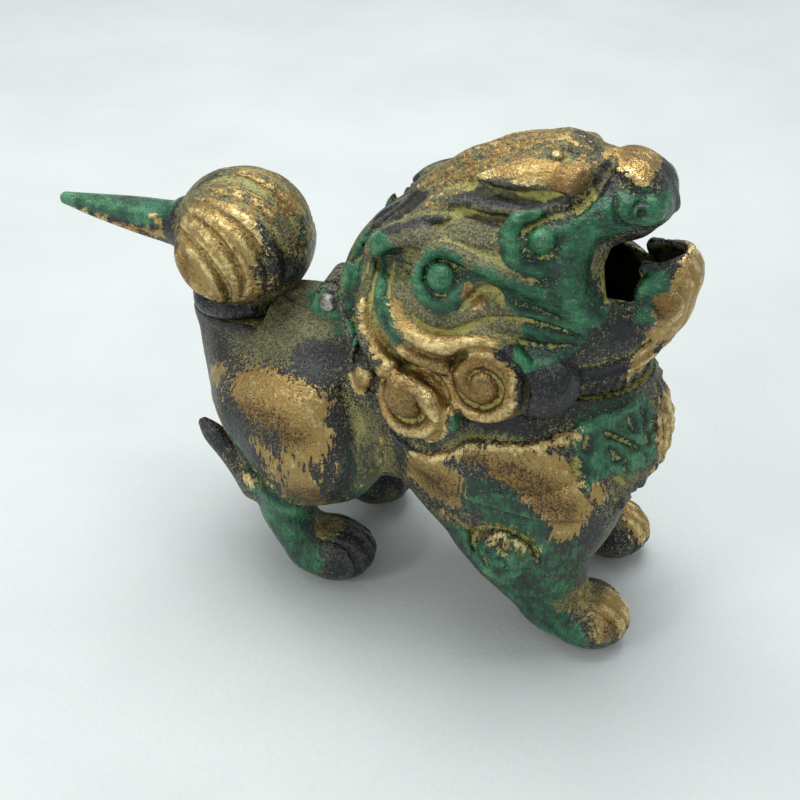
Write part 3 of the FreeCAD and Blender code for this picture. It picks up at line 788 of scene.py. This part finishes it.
HEAD_PAINT = {
    "gold": [
        thin(egg((28, 0, 93), (17, 8.2, 6), pitch=15), 0.54),
        egg((33, -7, 93.6), (7, 2.4, 2.2), pitch=10), egg((37.6, -7, 93.6), (3.6, 3.4, 2.6)),
        egg((35.3, -4.4, 95.4), (1.5, 1.4, 1.5)), thin(egg((17, -3, 87), (5, 6, 4)), 0.46),
        egg((47.6, -1.5, 96.2), (4.4, 4.6, 3)), egg((48.6, -4.6, 94.6), (2, 2, 1.8)),
        rope([(8, -16.6, 70, 0.9), (9.5, -18.6, 67.2, 1.3), (12.5, -20.5, 64.5, 1.7),
            (16.5, -21.5, 62.2, 1.9), (21, -23, 61, 2), (24.5, -24, 58.5, 2)]),
        rope([(13.4, -18.4, 73.4, 0.7), (16, -20.5, 71, 1.3), (19, -22, 70, 1.8), (22, -22, 69.5, 2),
            (26, -22.5, 70, 1.8), (31.4, -21.4, 70.4, 1.3)]),
        rope([(17, -21.5, 66, 1.8), (22.3, -22.8, 66.5, 2.6), (27, -22.8, 67.2, 2.4)]),
        rope([(21, -22.8, 64.5, 1.9), (25.5, -23, 62.5, 1.6)]),
        drum((18.4, -23.4, 57), CURL_FACE, 7.3, 5, 1), drum((29.6, -22.8, 63), CURL_FACE, 6.6, 5, 1),
        egg((8.4, -20.4, 57.4), (2, 2.2, 2.7)),
        egg((58.5, 0, 71), (4.4, 9.6, 11.5), pitch=4),
        rope([(57, -7.5, 69.5, 3.2), (54.5, -9.6, 65.5, 2.6), (52.4, -9, 61, 2.2)]),
        egg((55.6, -8.6, 74.6), (2.3, 2.4, 2.6)), egg((26.6, -17.2, 76), (1.3, 1.6, 2.4), pitch=50),],
    "bronze": [
        drum((17.6, -24.4, 57.4), CURL_FACE, 5.2, 4, 1), drum((30, -23.6, 63.6), CURL_FACE, 5.4, 4, 1),
        egg((55.8, -8.6, 74.6), (3.2, 3, 3.4)), egg((38.4, -7.4, 93), (3.8, 3.2, 2.6)),
        thin(egg((26, 0, 94), (16, 7, 5), pitch=15), 0.5),
        egg((26.6, -17.2, 76), (1.8, 2.2, 3), pitch=50),
        rope([(18, -22.2, 65.5, 1.6), (22.3, -23, 66, 2), (27, -23, 66.8, 2)]),
        egg((45.5, -2, 96.2), (2, 3, 2)),
        egg((54.5, -3, 88), (1.6, 2, 2.4)), egg((8.4, -20.8, 57.4), (1.4, 1.6, 2)),],
    "green": [
        egg((49, -8, 90.6), (4.6, 3.4, 3.2)), egg((52, -5.6, 90), (3.4, 3.8, 2.4), pitch=-10),
        rope([(46.4, -9.3, 90.3, 2.2), (43.6, -9.4, 89.8, 2.2), (41.6, -10.8, 87.6, 3),
            (40.8, -12.4, 83.6, 3.8), (41, -13.8, 79.5, 5), (40.6, -15, 75.5, 5.4),
            (39.4, -16.2, 71.2, 4.6), (37.4, -17.2, 68.6, 3)]),
        rope([(47.4, -9.2, 88, 1.7), (44.6, -9.8, 85.6, 1.6)]), egg((45.4, -13.6, 75.2), (2.6, 3, 3)),
        egg((35, -13.2, 84.6), (6, 4.4, 5.4)), egg((21.2, -17.8, 79.2), (4, 3, 4.4)),
        rope([(17, -18.5, 77.5, 1.1), (19.5, -19.5, 75.5, 1.4), (22, -20, 74.5, 1.3),
            (24, -19, 75, 1.1)]),
        rope([(25.5, -17, 79, 1.2), (28, -17, 80, 1.3), (31, -17, 78.5, 1.5), (34.5, -16, 76.5, 2.4),
            (37, -15.8, 75, 3)]),
        rope([(8, -12.5, 81, 1.3), (10.5, -14, 79.5, 2.2), (13, -15, 78, 2.2), (16, -15, 77.5, 1.2)]),
        rope([(4.8, -7.6, 77.4, 1.4), (4.1, -10.6, 73.4, 2), (4.4, -12.4, 69.5, 2),
            (5.4, -14.6, 65.6, 1.9), (8.4, -18.4, 62.4, 1.4)]),
        rope([(9.6, -13.4, 76, 1.2), (10.6, -17, 73.4, 1.5), (12.9, -19.4, 70.8, 1.6),
            (15.6, -20.8, 68, 1.3)]),
        egg((30.2, -21.8, 70.2), (1.7, 1.6, 0.9)), egg((52, -7.6, 77), (4.4, 3.4, 3.8)),
        egg((53, -10.2, 73.9), (2.4, 2.4, 2.4)),
        egg((26.6, -22.5, 56.6), (2.3, 3.4, 4.2)), egg((36.4, -19.4, 68.2), (3, 3, 2)),],
    "dark": [
        rope([(16, -7.5, 87, 0.9), (20, -8.6, 88.6, 1.6), (25, -9.4, 89.8, 2), (30, -10, 90, 2),
            (34.5, -10, 90.4, 1.4), (38, -9.4, 91.4, 0.8)]),
        rope([(22, -10, 86.4, 0.5), (26, -11, 86.6, 1.1), (31, -11.2, 87, 1.1),
            (35.4, -10.4, 88.2, 0.6)]),
        rope([(5, -2.5, 79, 3), (9.5, -4, 82.5, 2.8), (13.5, -5, 85.5, 1.6)]),
        rope([(6, -9, 78, 1), (9.5, -12.4, 82, 1), (13.9, -12.6, 84, 1.2), (18.4, -11.4, 85.4, 1)]),
        egg((40, -20, 62.8), (5.4, 5, 7.2)), egg((50, -12.5, 70.4), (2.4, 2.6, 3.6)),
        egg((34.6, -21.6, 69.4), (3, 2, 1.6)),
        rope([(46.6, -9.5, 73.2, 1), (50.2, -9.4, 78.6, 1.3), (53.8, -6.8, 81.2, 1.6),
            (56.4, -4, 81.2, 1.3), (57.8, 0, 81.6, 1.2)]),
        egg((53.8, -1.5, 92.8), (2.6, 4.6, 3.2)),
        rope([(42.5, -19, 63.4, 1.8), (46, -15.5, 62.6, 2.2), (50, -12.5, 63, 1.6)]),
        # painted shade on the shaded back side of the upper cheek spiral
        rope([(32.4, -13.4, 88.4, 0.7), (30.8, -14.6, 85.6, 0.9), (31.6, -15.4, 82.4, 0.7)]),
        rope([(37.2, -5.6, 96, 0.5), (38.2, -4.4, 96.2, 0.6), (36.6, -3.6, 96.6, 0.5),
            (33.6, -4.6, 96, 0.4), (35.4, -5.8, 95.4, 0.4)]),
        egg((43, -4, 92.6), (1.6, 4.6, 2.4)), egg((47.3, -8.6, 91.6), (1.3, 1.2, 1.3)),
        rope([(37, 0, 98, 0.5), (39.5, -1, 97.4, 0.8), (41.4, -2.2, 96, 0.6)]),
        # the egg that opens the next line is painted shade inside the open mouth
        egg((52.4, 0, 78.6), (6.2, 4.6, 3)), rope([(53.5, 0, 88.5, 0.6), (54.8, 0, 86, 0.6)]),],
    "lime": [
        egg((22, 0, 76), (24, 30, 14.5), pitch=20), egg((28, 0, 92), (18, 12, 8), pitch=16),
        rope([(18, -20, 71.5, 0.7), (21.5, -20.5, 71.5, 0.9), (24.5, -20.5, 72, 0.9),
            (28.5, -19, 72.5, 0.9), (32, -17.5, 74, 0.9), (36.5, -16, 73.5, 0.7)]),],
}

BODY_PAINT = {
    "gold": [
        thin(egg((-9, -15, 38.5), (18.5, 11, 14)), 0.30), thin(egg((-2, -19, 33), (6.5, 6, 11)), 0.42),
        egg((-8, -17.5, 47), (10.5, 7, 5.2), pitch=-4), egg((-2, -19.5, 42.6), (5.6, 5, 6)),
        rope([(-22, -13, 46.5, 1.8), (-25.5, -12, 42.5, 2.4), (-23.5, -14.5, 38, 2),
            (-18, -18.6, 35.5, 1)]),
        rope([(-4.6, -21.6, 36.5, 2.8), (-3.4, -21.5, 30.5, 3.4), (-1.6, -19.5, 26.5, 2)]),
        rope([(-13.6, -19.8, 41, 2.2), (-10, -21.6, 36, 1.8), (-8.4, -21.5, 31.5, 1.4)]),
        thin(egg((12.6, -16.5, 36), (3, 4, 7)), 0.42),
        egg((21.4, -20.5, 38.8), (6.2, 4.2, 5.6)), rope([(17.8, -19, 36.8, 2), (24.8, -21, 35.2, 2)]),
        rope([(27, -20.5, 46.4, 1.8), (33, -20.6, 46.6, 3.4), (38, -20.6, 45.8, 4.2),
            (43, -20, 44.2, 4.6)]),
        rope([(40.5, -21, 42.4, 3.2), (45.6, -21, 39.8, 4.2), (46.4, -21.4, 36, 3.2),
            (44.6, -22, 33.4, 1.6)]),
        rope([(14.6, -18.6, 41.8, 0.6), (19.5, -20.2, 42.6, 0.9), (23.6, -20.4, 45, 1.1),
            (27.5, -20.2, 48.2, 1.1), (33, -20.2, 49.2, 1.1), (38, -19.6, 50, 1.2),
            (42, -17.8, 51.2, 1.2), (44.6, -16.5, 52, 0.9)]),
        egg((60, 0, 47), (3.8, 8.8, 7)), rope([(58.6, -3, 42, 2), (56, -6, 37.5, 1.6)]),
        egg((50.3, -18.6, 42.2), (1.5, 2.2, 1.6)),
        thin(rope([(24, -20, 30.6, 1), (29, -20.6, 29.8, 1.4), (33, -22.2, 31.4, 1.4),
            (38, -23, 31.4, 1.4), (41, -23, 28.4, 1)]), 0.44),
        egg((56.4, -13.5, 9.4), (4, 5.6, 4.6)), rope([(53, -15.8, 12, 1.2), (54.8, -18.2, 7.6, 1.8)]),
        thin(egg((50.5, -15, 12.5), (4, 5, 3)), 0.44),
        egg((-14.6, -20.9, 28.4), (1.7, 1.3, 1.2)), thin(egg((-2.5, -13, 12), (3, 3, 2)), 0.5),
        thin(egg((36, -24.4, 30.8), (3, 1.8, 1.2)), 0.5),],
    "bronze": [
        egg((-9, -20, 43.4), (9, 5, 4.2), pitch=-10), egg((-3, -21, 28), (5, 3, 4.4)),
        egg((21.6, -21, 37.6), (5.6, 3, 4.4)),
        rope([(29, -21, 46, 2.4), (38, -21, 44, 3.6), (45, -21.4, 39, 3.6)]),
        egg((-25.4, -12.6, 41.5), (3, 3, 3.4)),
        egg((56, -18, 8), (2.4, 3, 3.2)), rope([(26, -20.4, 30.2, 1.6), (31, -21.1, 29.4, 2),
            (38.6, -22.4, 27, 2)]),],
    "green": [
        rope([(-20, -16.5, 36, 1.6), (-15.5, -20.2, 32.4, 2.2), (-12.4, -20.8, 27, 3),
            (-10.2, -19.5, 20, 4.6), (-9, -18, 12, 5.6), (-5.6, -17.4, 6, 4.6)]),
        thin(egg((-9, -14, 14), (8, 9, 14)), 0.46),
        rope([(29.8, -21.2, 38.4, 3.6), (33.5, -21.8, 37.6, 4.4), (38, -22.2, 34.6, 4.8),
            (41.5, -22.4, 30.6, 4), (42.2, -22.2, 25.5, 3.2)]),
        egg((35.3, -23, 25.8), (5.2, 4.4, 4.8)), thin(egg((44, -20, 24), (6.5, 7, 9)), 0.50),
        rope([(25, -19.6, 27.6, 1.4), (31, -20.4, 21.6, 2.2), (36, -20.4, 17, 2.8),
            (41, -20.5, 14.6, 3.4), (45, -20.6, 18, 3)]),
        rope([(41, -19, 11, 3.8), (44.5, -19.2, 7.5, 4.2), (50, -19.6, 5.4, 2.6)]),
        egg((50.4, -12, 50.8), (7.6, 9.4, 6.8)), egg((54.4, -9, 46.4), (3.8, 6, 4.8)),
        rope([(47.5, -17.8, 46.6, 2.2), (48.2, -18.6, 43.6, 1.4)]),
        rope([(-7, -3, 60, 2), (-2, -6, 60.5, 2.6), (0.5, -9, 59, 2.6)]),
        thin(egg((8, -16, 33), (5, 5, 8)), 0.40),],
    "dark": [
        thin(egg((-15, -18.6, 37), (5.5, 4, 6.5)), 0.75),
        thin(rope([(2.4, -19, 46, 1), (2, -19.6, 34, 1.2), (1, -19, 27, 1.4)]), 0.7),
        egg((4, -14, 8.4), (5.4, 7.5, 5.6)), rope([(4.9, -18.4, 46, 0.8), (5.2, -19, 37, 1),
            (4, -19.2, 28, 1.2)]), egg((-3, -13, 54.4), (5, 5, 2.6)),
        thin(rope([(50.6, -19, 36, 1.6), (48.6, -19.8, 29, 2.2), (47, -20.4, 23, 2)]), 0.6),
        rope([(16, -18, 46.5, 1.4), (14.6, -17, 38, 0.8)]),
        rope([(47.9, -14.4, 52.8, 0.5), (48.8, -14, 50.2, 0.5)]),
        rope([(50.6, -12.6, 52, 0.5), (50.8, -12.8, 49.2, 0.5)]),
        rope([(48.4, -19.6, 8.6, 0.8), (49.8, -18.6, 10.6, 0.7)]),
        rope([(26.6, -20.4, 48.4, 0.35), (27.3, -21.2, 43.6, 0.3)]),
        rope([(29.9, -20.6, 49, 0.3), (30.5, -21, 44.6, 0.25)]),
        # the flat egg at the end of the next line is a painted shadow on the shoulder under the overhanging
        # curls
        rope([(-27.5, -12.8, 32, 2), (-23.5, -14.4, 29.5, 1.2)]), egg((33, -17.2, 52), (7, 2.4, 1.6)),
        egg((-24, 0, 54.6), (12, 12, 1.6)),],
    "lime": [
        egg((-13, 0, 56), (13, 17.5, 8)), egg((8.4, -17, 38), (4.4, 4.6, 11)),
        rope([(24, -18.6, 47, 1.2), (29, -18.8, 50.4, 1.4), (34, -18.4, 51, 1.4)]),
        rope([(46, -19.8, 13.6, 1.8), (49, -18, 14.6, 2), (52, -13, 14.6, 2)]),
        egg((54, -13, 42.6), (3, 4, 3.6)),
        egg((52.5, -12, 12), (3, 6, 2.6)), egg((-3, -12.5, 12), (3.4, 3.4, 2.6)),
        rope([(24, -20, 28.6, 1.2), (31, -21, 27.4, 1.4), (38, -22, 25.6, 1.4)]),],
}

TAIL_PAINT = {
    "gold": [
        thin(egg((-21.3, 0, 68), (13.6, 13.6, 13.6)), 0.42), egg((-22, -9, 71.5), (8.6, 6.4, 8.8)),
        thin(egg((-18.6, -3, 79), (6.4, 8, 3.4)), 0.52), egg((-20.5, -10.5, 65.5), (5.8, 4.4, 7.5)),
        egg((-27, -10, 66.6), (3.6, 4.4, 5.4)), egg((-12.6, 0, 77), (2.4, 4, 2.4)),
        egg((-22, 9, 70.5), (8.6, 6.4, 9.5)),
        rope([(-57, -1.6, 69, 0.2), (-48, -3, 68.4, 0.5), (-40, -4, 67.8, 0.8),
            (-36.8, -4.4, 68.4, 1.2)]), rope([(-38.4, -3.4, 71.4, 0.5), (-36.6, -3.8, 70.6, 0.8)]),
        thin(egg((-12.6, -8.5, 66), (3.4, 3.4, 6)), 0.46),],
    "bronze": [egg((-28.5, -9.4, 65.5), (2.6, 3.6, 4.4)), egg((-20.4, -11.4, 65), (2.6, 2.4, 4)),
        rope([(-57, -1.6, 68.4, 0.6), (-40, -4, 67, 1.2)]),
               thin(egg((-12, 0, 77), (4, 8, 4)), 0.5)],
    "green": [rope([(-62, 0, 71, 2.2), (-48, 0, 71.2, 3.4), (-37.6, 0, 71.6, 4.2)], 1),
        egg((-8.4, 3, 71), (2, 7, 8))],
    "dark": [
        egg((-34.6, 0, 70.6), (1.3, 6, 5.4)),
        thin(rope([(-14, -8, 76, 0.4), (-12, -8, 73.5, 0.6), (-10.5, -7, 69.5, 0.9)]), 0.8),
        thin(rope([(-15.6, -11.6, 70, 0.7), (-13.4, -10.4, 68.4, 1), (-11.2, -7.6, 68.6, 1.8),
            (-10.4, -5, 66, 2.2)]), 0.7), egg((-24, 0, 57.2), (9, 12, 2.4)),
        egg((-30.6, 0, 59), (3, 9, 2.6)), rope([(-29, -3, 78.6, 0.6), (-24.5, -0.5, 81.5, 0.5)]),
        rope([(-61.5, 0, 73.4, 1), (-48, 0, 74, 0.9), (-38, 0, 75.6, 0.8)]),],
    "lime": [egg((-29, -4, 77), (4.5, 6, 4)), egg((-12, 0, 76), (5, 8, 5)),
        egg((-19, -1, 80), (10, 9, 4))],
}


# ---- materials ------------------------------------------------------------


def linear(red, green, blue):
    """A colour given as 0 to 255 display values."""
    return [((c / 255 + 0.055) / 1.055) ** 2.4 if c > 10 else c / 255 / 12.92 for c in (red, green,
        blue)] + [1.0]


WASH = 0.20              # how much of the olive powder lies everywhere
NOISE_GAIN = 3.0         # a noise then lies between about -1 and 1, mostly within 0.4 of 0


class Nodes:
    """Short words for building a material's nodes."""

    def __init__(self, name):
        self.material = bpy.data.materials.new(name)
        self.material.use_nodes = True
        self.tree = self.material.node_tree
        self.shader = self.tree.nodes["Principled BSDF"]
        self.place = self.tree.nodes.new("ShaderNodeTexCoord").outputs["Object"]

    def node(self, kind, inputs, **settings):
        made = self.tree.nodes.new(kind)
        for key, value in settings.items():
            setattr(made, key, value)
        for key, value in inputs.items():
            if hasattr(value, "links"):
                self.tree.links.new(value, made.inputs[key])
            else:
                made.inputs[key].default_value = value
        return made

    def value(self, name):
        return self.node("ShaderNodeAttribute", {}, attribute_name=name).outputs["Fac"]

    def math(self, operation, a, b=0.0, c=0.0):
        return self.node("ShaderNodeMath", {0: a, 1: b, 2: c}, operation=operation).outputs[0]

    def plus(self, *terms):
        total = terms[0]
        for term in terms[1:]:
            total = self.math("ADD", total, term)
        return total

    def times(self, a, b):
        return self.math("MULTIPLY", a, b)

    def without(self, a, b):
        """a where b is not."""
        return self.times(a, self.math("SUBTRACT", 1.0, b))

    def step(self, value, low, high):
        """0 below low and 1 above high, smooth between."""
        made = self.node("ShaderNodeMapRange", {"Value": value, "From Min": low, "From Max": high},
                         interpolation_type="SMOOTHSTEP")
        return made.outputs["Result"]

    def noise(self, size, detail=3.0, stretch=(1, 1, 1), shift=0.0, rough=0.55):
        """Noise about its middle, with features of that size in mm, drawn out along an axis by stretch."""
        scale = [1 / (size * MM * s) for s in stretch]
        place = self.node("ShaderNodeMapping",
            {"Vector": self.place, "Scale": scale, "Location": (shift,) * 3})
        made = self.node("ShaderNodeTexNoise",
            {"Vector": place.outputs[0], "Scale": 1.0, "Detail": detail,
                                                "Roughness": rough})
        return self.math("MULTIPLY_ADD", made.outputs["Fac"], NOISE_GAIN, -NOISE_GAIN / 2)

    def mix(self, factor, a, b):
        made = self.node("ShaderNodeMix", {"Factor": factor}, data_type="RGBA")
        for socket, colour in ((6, a), (7, b)):
            if hasattr(colour, "links"):
                self.tree.links.new(colour, made.inputs[socket])
            else:
                made.inputs[socket].default_value = colour
        return made.outputs[2]

    def blend(self, factor, a, b):
        """A number between a and b."""
        return self.node("ShaderNodeMix", {"Factor": factor, 2: a, 3: b}).outputs[0]

    def set(self, **inputs):
        for key, value in inputs.items():
            socket = self.shader.inputs[key.replace("_", " ")]
            if hasattr(value, "links"):
                self.tree.links.new(value, socket)
            else:
                socket.default_value = value

    def bump(self, height, distance):
        """Relief from a height that is in mm."""
        made = self.node("ShaderNodeBump", {"Height": height, "Distance": distance * MM, "Strength": 1.0})
        self.tree.links.new(made.outputs[0], self.shader.inputs["Normal"])


BLACK, SLATE = linear(18, 20, 24), linear(68, 70, 68)
MOSS, OLIVE, LIME = linear(88, 87, 58), linear(146, 142, 94), linear(190, 186, 100)
DEEP_GREEN, GREEN, MINT = linear(10, 46, 33), linear(34, 100, 66), linear(100, 164, 118)
GOLD, PALE_GOLD, BRONZE, BROWN = linear(172, 144, 90), linear(244, 222, 160), linear(128, 98,
    60), linear(48, 38, 28)
SOOT, RUST = linear(12, 12, 14), linear(42, 34, 28)


def painted_casting(name, streak, stipple):
    """Cast metal in an almost black undercoat, wiped with olive, then painted green and gold by hand;
    painted shade darkens the green and gold in the hollows and painted highlights lighten them on proud
    edges.
    """
    n = Nodes(name)
    gold, green, lime = n.value("gold"), n.value("green"), n.value("lime")
    bronze, dark, inside = n.value("bronze"), n.value("dark"), n.value("inside")
    ridge, swell = n.value("ridge"), n.value("swell")
    grain, speck, blotch = n.noise(0.34, 2), n.noise(0.8, 3, shift=7.0), n.noise(2.4, 5, shift=3.0)
    cloud = n.noise(7.0, 3, shift=11.0)
    brush = n.noise(0.6, 4, stretch=streak, shift=5.0)
    ragged = n.plus(n.times(brush, 0.75), n.times(blotch, 0.35), n.times(grain, 0.25))
    hollow = n.step(ridge, 0.0, -0.22)
    crevice = n.step(ridge, -0.16, -0.42)
    proud = n.step(ridge, 0.02, 0.26)

    # undercoat, rubbed to grey on what stands proud
    rubbed = n.step(n.plus(n.times(grain, 0.7), speck, n.times(proud, 0.5), n.times(cloud, 0.5)), 0.22,
        0.85)
    base = n.mix(rubbed, BLACK, SLATE)

    # olive powder, wiped over and left in the hollows
    powder = n.plus(n.times(grain, 1.0), n.times(speck, 0.40), n.times(cloud, 0.35),
        n.times(hollow, 0.20))
    wiped = n.step(n.plus(powder, n.times(lime, 0.85), WASH), 0.18, 0.85)
    olive = n.mix(n.step(n.plus(powder, n.times(hollow, 0.3)), -0.25, 0.55), MOSS, OLIVE)
    olive = n.mix(n.step(n.plus(n.times(powder, 0.5), n.times(lime, 0.2), n.times(hollow, 0.6)), 0.55,
        1.3), olive, LIME)
    colour = n.mix(n.times(wiped, 0.88), base, olive)

    # dark strokes of black paint; some dark forms are painted shade instead: in the mouth, beside a cheek
    # spiral and on the shoulder under the curls
    night = n.step(n.plus(dark, n.times(ragged, 0.6)), 0.32, 0.70)
    colour = n.mix(n.times(night, 0.92), colour, base)

    # green paint: darker in the hollows and broad dips as painted shade, lighter towards mint on proud and
    # bulging forms, partly as wear and partly as a painted highlight, and random in tone besides
    leaf = n.step(n.plus(green, n.times(ragged, 0.6)), 0.38, 0.56)
    green_tone_and_light = n.plus(n.times(blotch, 0.7), n.times(brush, 0.5), n.times(cloud, 0.7), n.times(swell, 0.25),
        n.times(proud, 0.35), n.times(hollow, -0.6))
    paint = n.mix(n.step(green_tone_and_light, -0.45, 0.55), DEEP_GREEN, GREEN)
    paint = n.mix(n.times(n.step(n.plus(green_tone_and_light, n.times(grain, 0.5)), 0.2, 1.4), 0.75), paint, MINT)
    worn = n.step(n.plus(grain, n.times(speck, 0.6), n.times(hollow, 0.25)), 0.52, 0.70)
    colour = n.mix(n.without(leaf, n.times(worn, 0.75)), colour, paint)

    # gold, dragged on with a dry brush
    left = n.plus(gold, n.times(dark, -0.45))
    metal = n.step(n.plus(left, n.times(ragged, 0.75), n.times(hollow, -0.18), n.times(proud, 0.06)),
        0.45, 0.53)
    crack = n.step(n.plus(n.times(brush, 0.8), n.times(grain, 0.45), n.times(hollow, -0.3)), -0.40, -0.58)
    fleck = n.step(n.plus(grain, n.times(speck, 0.5), n.times(bronze, stipple)), 0.36, 0.62)
    # the paler gold on proud edges is a painted highlight; elsewhere it varies at random
    pale_gold_and_glint = n.plus(n.times(blotch, 0.55), n.times(proud, 0.4), n.times(speck, 0.45))
    leafed = n.mix(n.step(pale_gold_and_glint, 0.05, 0.75), GOLD, PALE_GOLD)
    # the gold turns bronze in the bronze patches and at random, and darker towards the hollows as painted
    # shade
    brown = n.plus(n.times(bronze, 0.75), n.times(blotch, 0.45), n.times(hollow, 0.4),
        n.times(grain, 0.2))
    leafed = n.mix(n.times(n.step(brown, 0.20, 0.95), 0.9), leafed, BRONZE)
    leafed = n.mix(n.times(fleck, n.blend(bronze, 0.40, 0.40 + stipple)), leafed, BROWN)
    metal = n.without(metal, n.times(crack, 0.85))
    colour = n.mix(metal, colour, leafed)

    # yellow-green left at the bottom of the grooves
    antique = n.step(n.plus(n.times(crevice, 0.9), n.times(hollow, 0.2), n.times(speck, 0.75),
        n.times(grain, 0.4), n.times(lime, 0.15)), 0.62, 1.35)
    antique = n.without(n.times(antique, 0.8), n.times(night, 0.8))
    colour = n.mix(antique, colour, LIME)
    colour = n.mix(n.times(inside, 0.96), colour, n.mix(n.step(blotch, 0.0, 0.6), SOOT, RUST))

    shine = n.without(n.without(n.without(metal, antique), inside), n.times(fleck, 0.5))
    n.set(Base_Color=colour, Metallic=shine)
    rough = n.plus(0.38, n.times(speck, 0.10), n.times(wiped, 0.16), n.times(inside, 0.3),
        n.times(metal, -0.04))
    n.set(Roughness=n.plus(rough, n.times(n.without(leaf, metal), -0.20), n.times(night, -0.16)))
    relief = n.plus(n.times(grain, 0.35), n.times(speck, 0.55), n.times(brush, 0.35),
        n.times(blotch, 0.5), n.times(metal, 0.25), n.times(leaf, 0.15))
    n.bump(relief, 0.16)
    return n.material


def turned_steel(name, tint):
    """Bright steel with fine lines round Y, as from turning, and a little tarnish."""
    n = Nodes(name)
    lines, stain = n.noise(0.12, 2, stretch=(6, 1, 6)), n.noise(1.6, 4, shift=2.0)
    n.set(Base_Color=n.mix(n.step(stain, 0.0, 0.8), linear(*tint), linear(96, 78, 58)), Metallic=1.0)
    n.set(Roughness=n.plus(n.times(stain, 0.15), n.times(lines, 0.1), 0.34))
    n.bump(lines, 0.03)
    return n.material


def paper(name):
    n = Nodes(name)
    fibre, patch = n.noise(1.2, 5), n.noise(55.0, 3, shift=4.0)
    n.set(Base_Color=n.mix(n.step(n.plus(n.times(fibre, 0.3), n.times(patch, 0.7)), -0.5, 0.5),
        linear(214, 220, 218), linear(222, 227, 225)))
    n.set(Roughness=0.9)
    n.bump(fibre, 0.05)
    return n.material


# ---- the pieces -----------------------------------------------------------

HEAD_STEP, BODY_STEP, TAIL_STEP = 0.42, 0.5, 0.4
RIDGE_MM, SWELL_MM = 0.8, 2.6      # the scales, in mm, at which edges and hollows are felt
INSIDE_DEPTH = 1.3                 # deeper than this in the solid form, a wall is inside the casting


def piece(name, clay, paint, soft, material, body, node):
    """Meshes a clay, paints it with edges soft mm wide and puts it on its body in place of its CAD node."""
    made, points = meshed(name, clay)
    side = points.copy()
    if clay.mirrored:
        side[:, 1] = -np.abs(side[:, 1])
    values = {colour: coverage(side, forms, soft) for colour, forms in paint.items()}
    values["ridge"] = sampled(blurred(clay.solid, round(RIDGE_MM / clay.step)), clay, side)
    values["swell"] = sampled(blurred(clay.solid, round(SWELL_MM / clay.step)), clay, side)
    values["inside"] = ramp(-sampled(clay.solid, clay, side), INSIDE_DEPTH - 0.4, INSIDE_DEPTH + 0.4)
    for key, value in values.items():
        layer = made.data.attributes.new(key, "FLOAT", "POINT")
        layer.data.foreach_set("value", value.astype(np.float32))
    made.data.materials.append(material)
    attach(made, body)
    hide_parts(node)
    return made


piece("head", model_head(HEAD_STEP), HEAD_PAINT, 1.0,
    painted_casting("painted_head", (3.5, 2.0, 1.0), 0.15), "head", "head_casting")
piece("body", model_body(BODY_STEP), BODY_PAINT, 2.0,
    painted_casting("painted_body", (1.0, 1.0, 6.0), 0.42), "base", "body_casting")
piece("tail", model_tail(TAIL_STEP), TAIL_PAINT, 1.4,
    painted_casting("painted_tail", (2.6, 1.0, 1.6), 0.2), "base", "tail_casting")

for node, slot_name, tint in (("hinge_pin", "pin_steel", (176, 172, 164)),
        ("tail_screw", "screw_steel", (150, 146, 138))):
    frame["nodes"][node].data.materials.clear()
    frame["nodes"][node].data.materials.append(turned_steel(slot_name, tint))

# ---- floor, light and camera ----------------------------------------------

LENGTH = cad_box[1][0] - cad_box[0][0]
# in degrees: where the camera stands round the dog, and how far it looks down
VIEW_FROM, VIEW_DOWN = -71.2, 38.0
VIEW_DISTANCE = 2.275 * LENGTH
LENS = 49.5                               # mm, on the usual 36 mm sensor
LOOKED_AT = Vector((-0.0596, 0.381, 0)) * LENGTH


def towards(direction, up="Y"):
    return (-direction).to_track_quat("Z", up).to_euler()


def look():
    azimuth, elevation = math.radians(VIEW_FROM), math.radians(VIEW_DOWN)
    back = Vector((math.cos(azimuth) * math.cos(elevation), math.sin(azimuth) * math.cos(elevation),
        math.sin(elevation)))
    camera = bpy.data.objects.new("camera", bpy.data.cameras.new("camera"))
    camera.data.lens = LENS
    camera.data.clip_start = 0.01
    camera.location = LOOKED_AT + back * VIEW_DISTANCE
    camera.rotation_euler = towards(-back)
    bpy.context.scene.collection.objects.link(camera)
    bpy.context.scene.camera = camera


def lamp(name, place, size, power, tint=(1, 1, 1)):
    """A soft square lamp, placed in dog lengths and pointed at the dog."""
    light = bpy.data.objects.new(name, bpy.data.lights.new(name, "AREA"))
    light.data.size, light.data.energy, light.data.color = size * LENGTH, power, tint
    light.location = Vector(place) * LENGTH
    light.rotation_euler = towards(Vector((0, 0, 0.4 * LENGTH)) - light.location)
    bpy.context.scene.collection.objects.link(light)


def floor():
    bpy.ops.mesh.primitive_plane_add(size=30 * LENGTH)
    plane = bpy.context.object
    plane.name = "floor"
    plane.data.materials.append(paper("floor_paper"))


look()
floor()
lamp("window", (-0.4, 1.0, 5.2), 3.6, 3.2, (0.98, 0.99, 1.0))
lamp("fill", (-2.6, -3.4, 2.6), 1.0, 0.55, (1.0, 0.99, 0.97))
world = bpy.data.worlds.new("soft_room")
world.use_nodes = True
world.node_tree.nodes["Background"].inputs["Color"].default_value = (0.93, 0.97, 1.0, 1)
world.node_tree.nodes["Background"].inputs["Strength"].default_value = 0.51
bpy.context.scene.world = world

bpy.context.scene.view_settings.view_transform = "Standard"
bpy.context.view_layer.update()
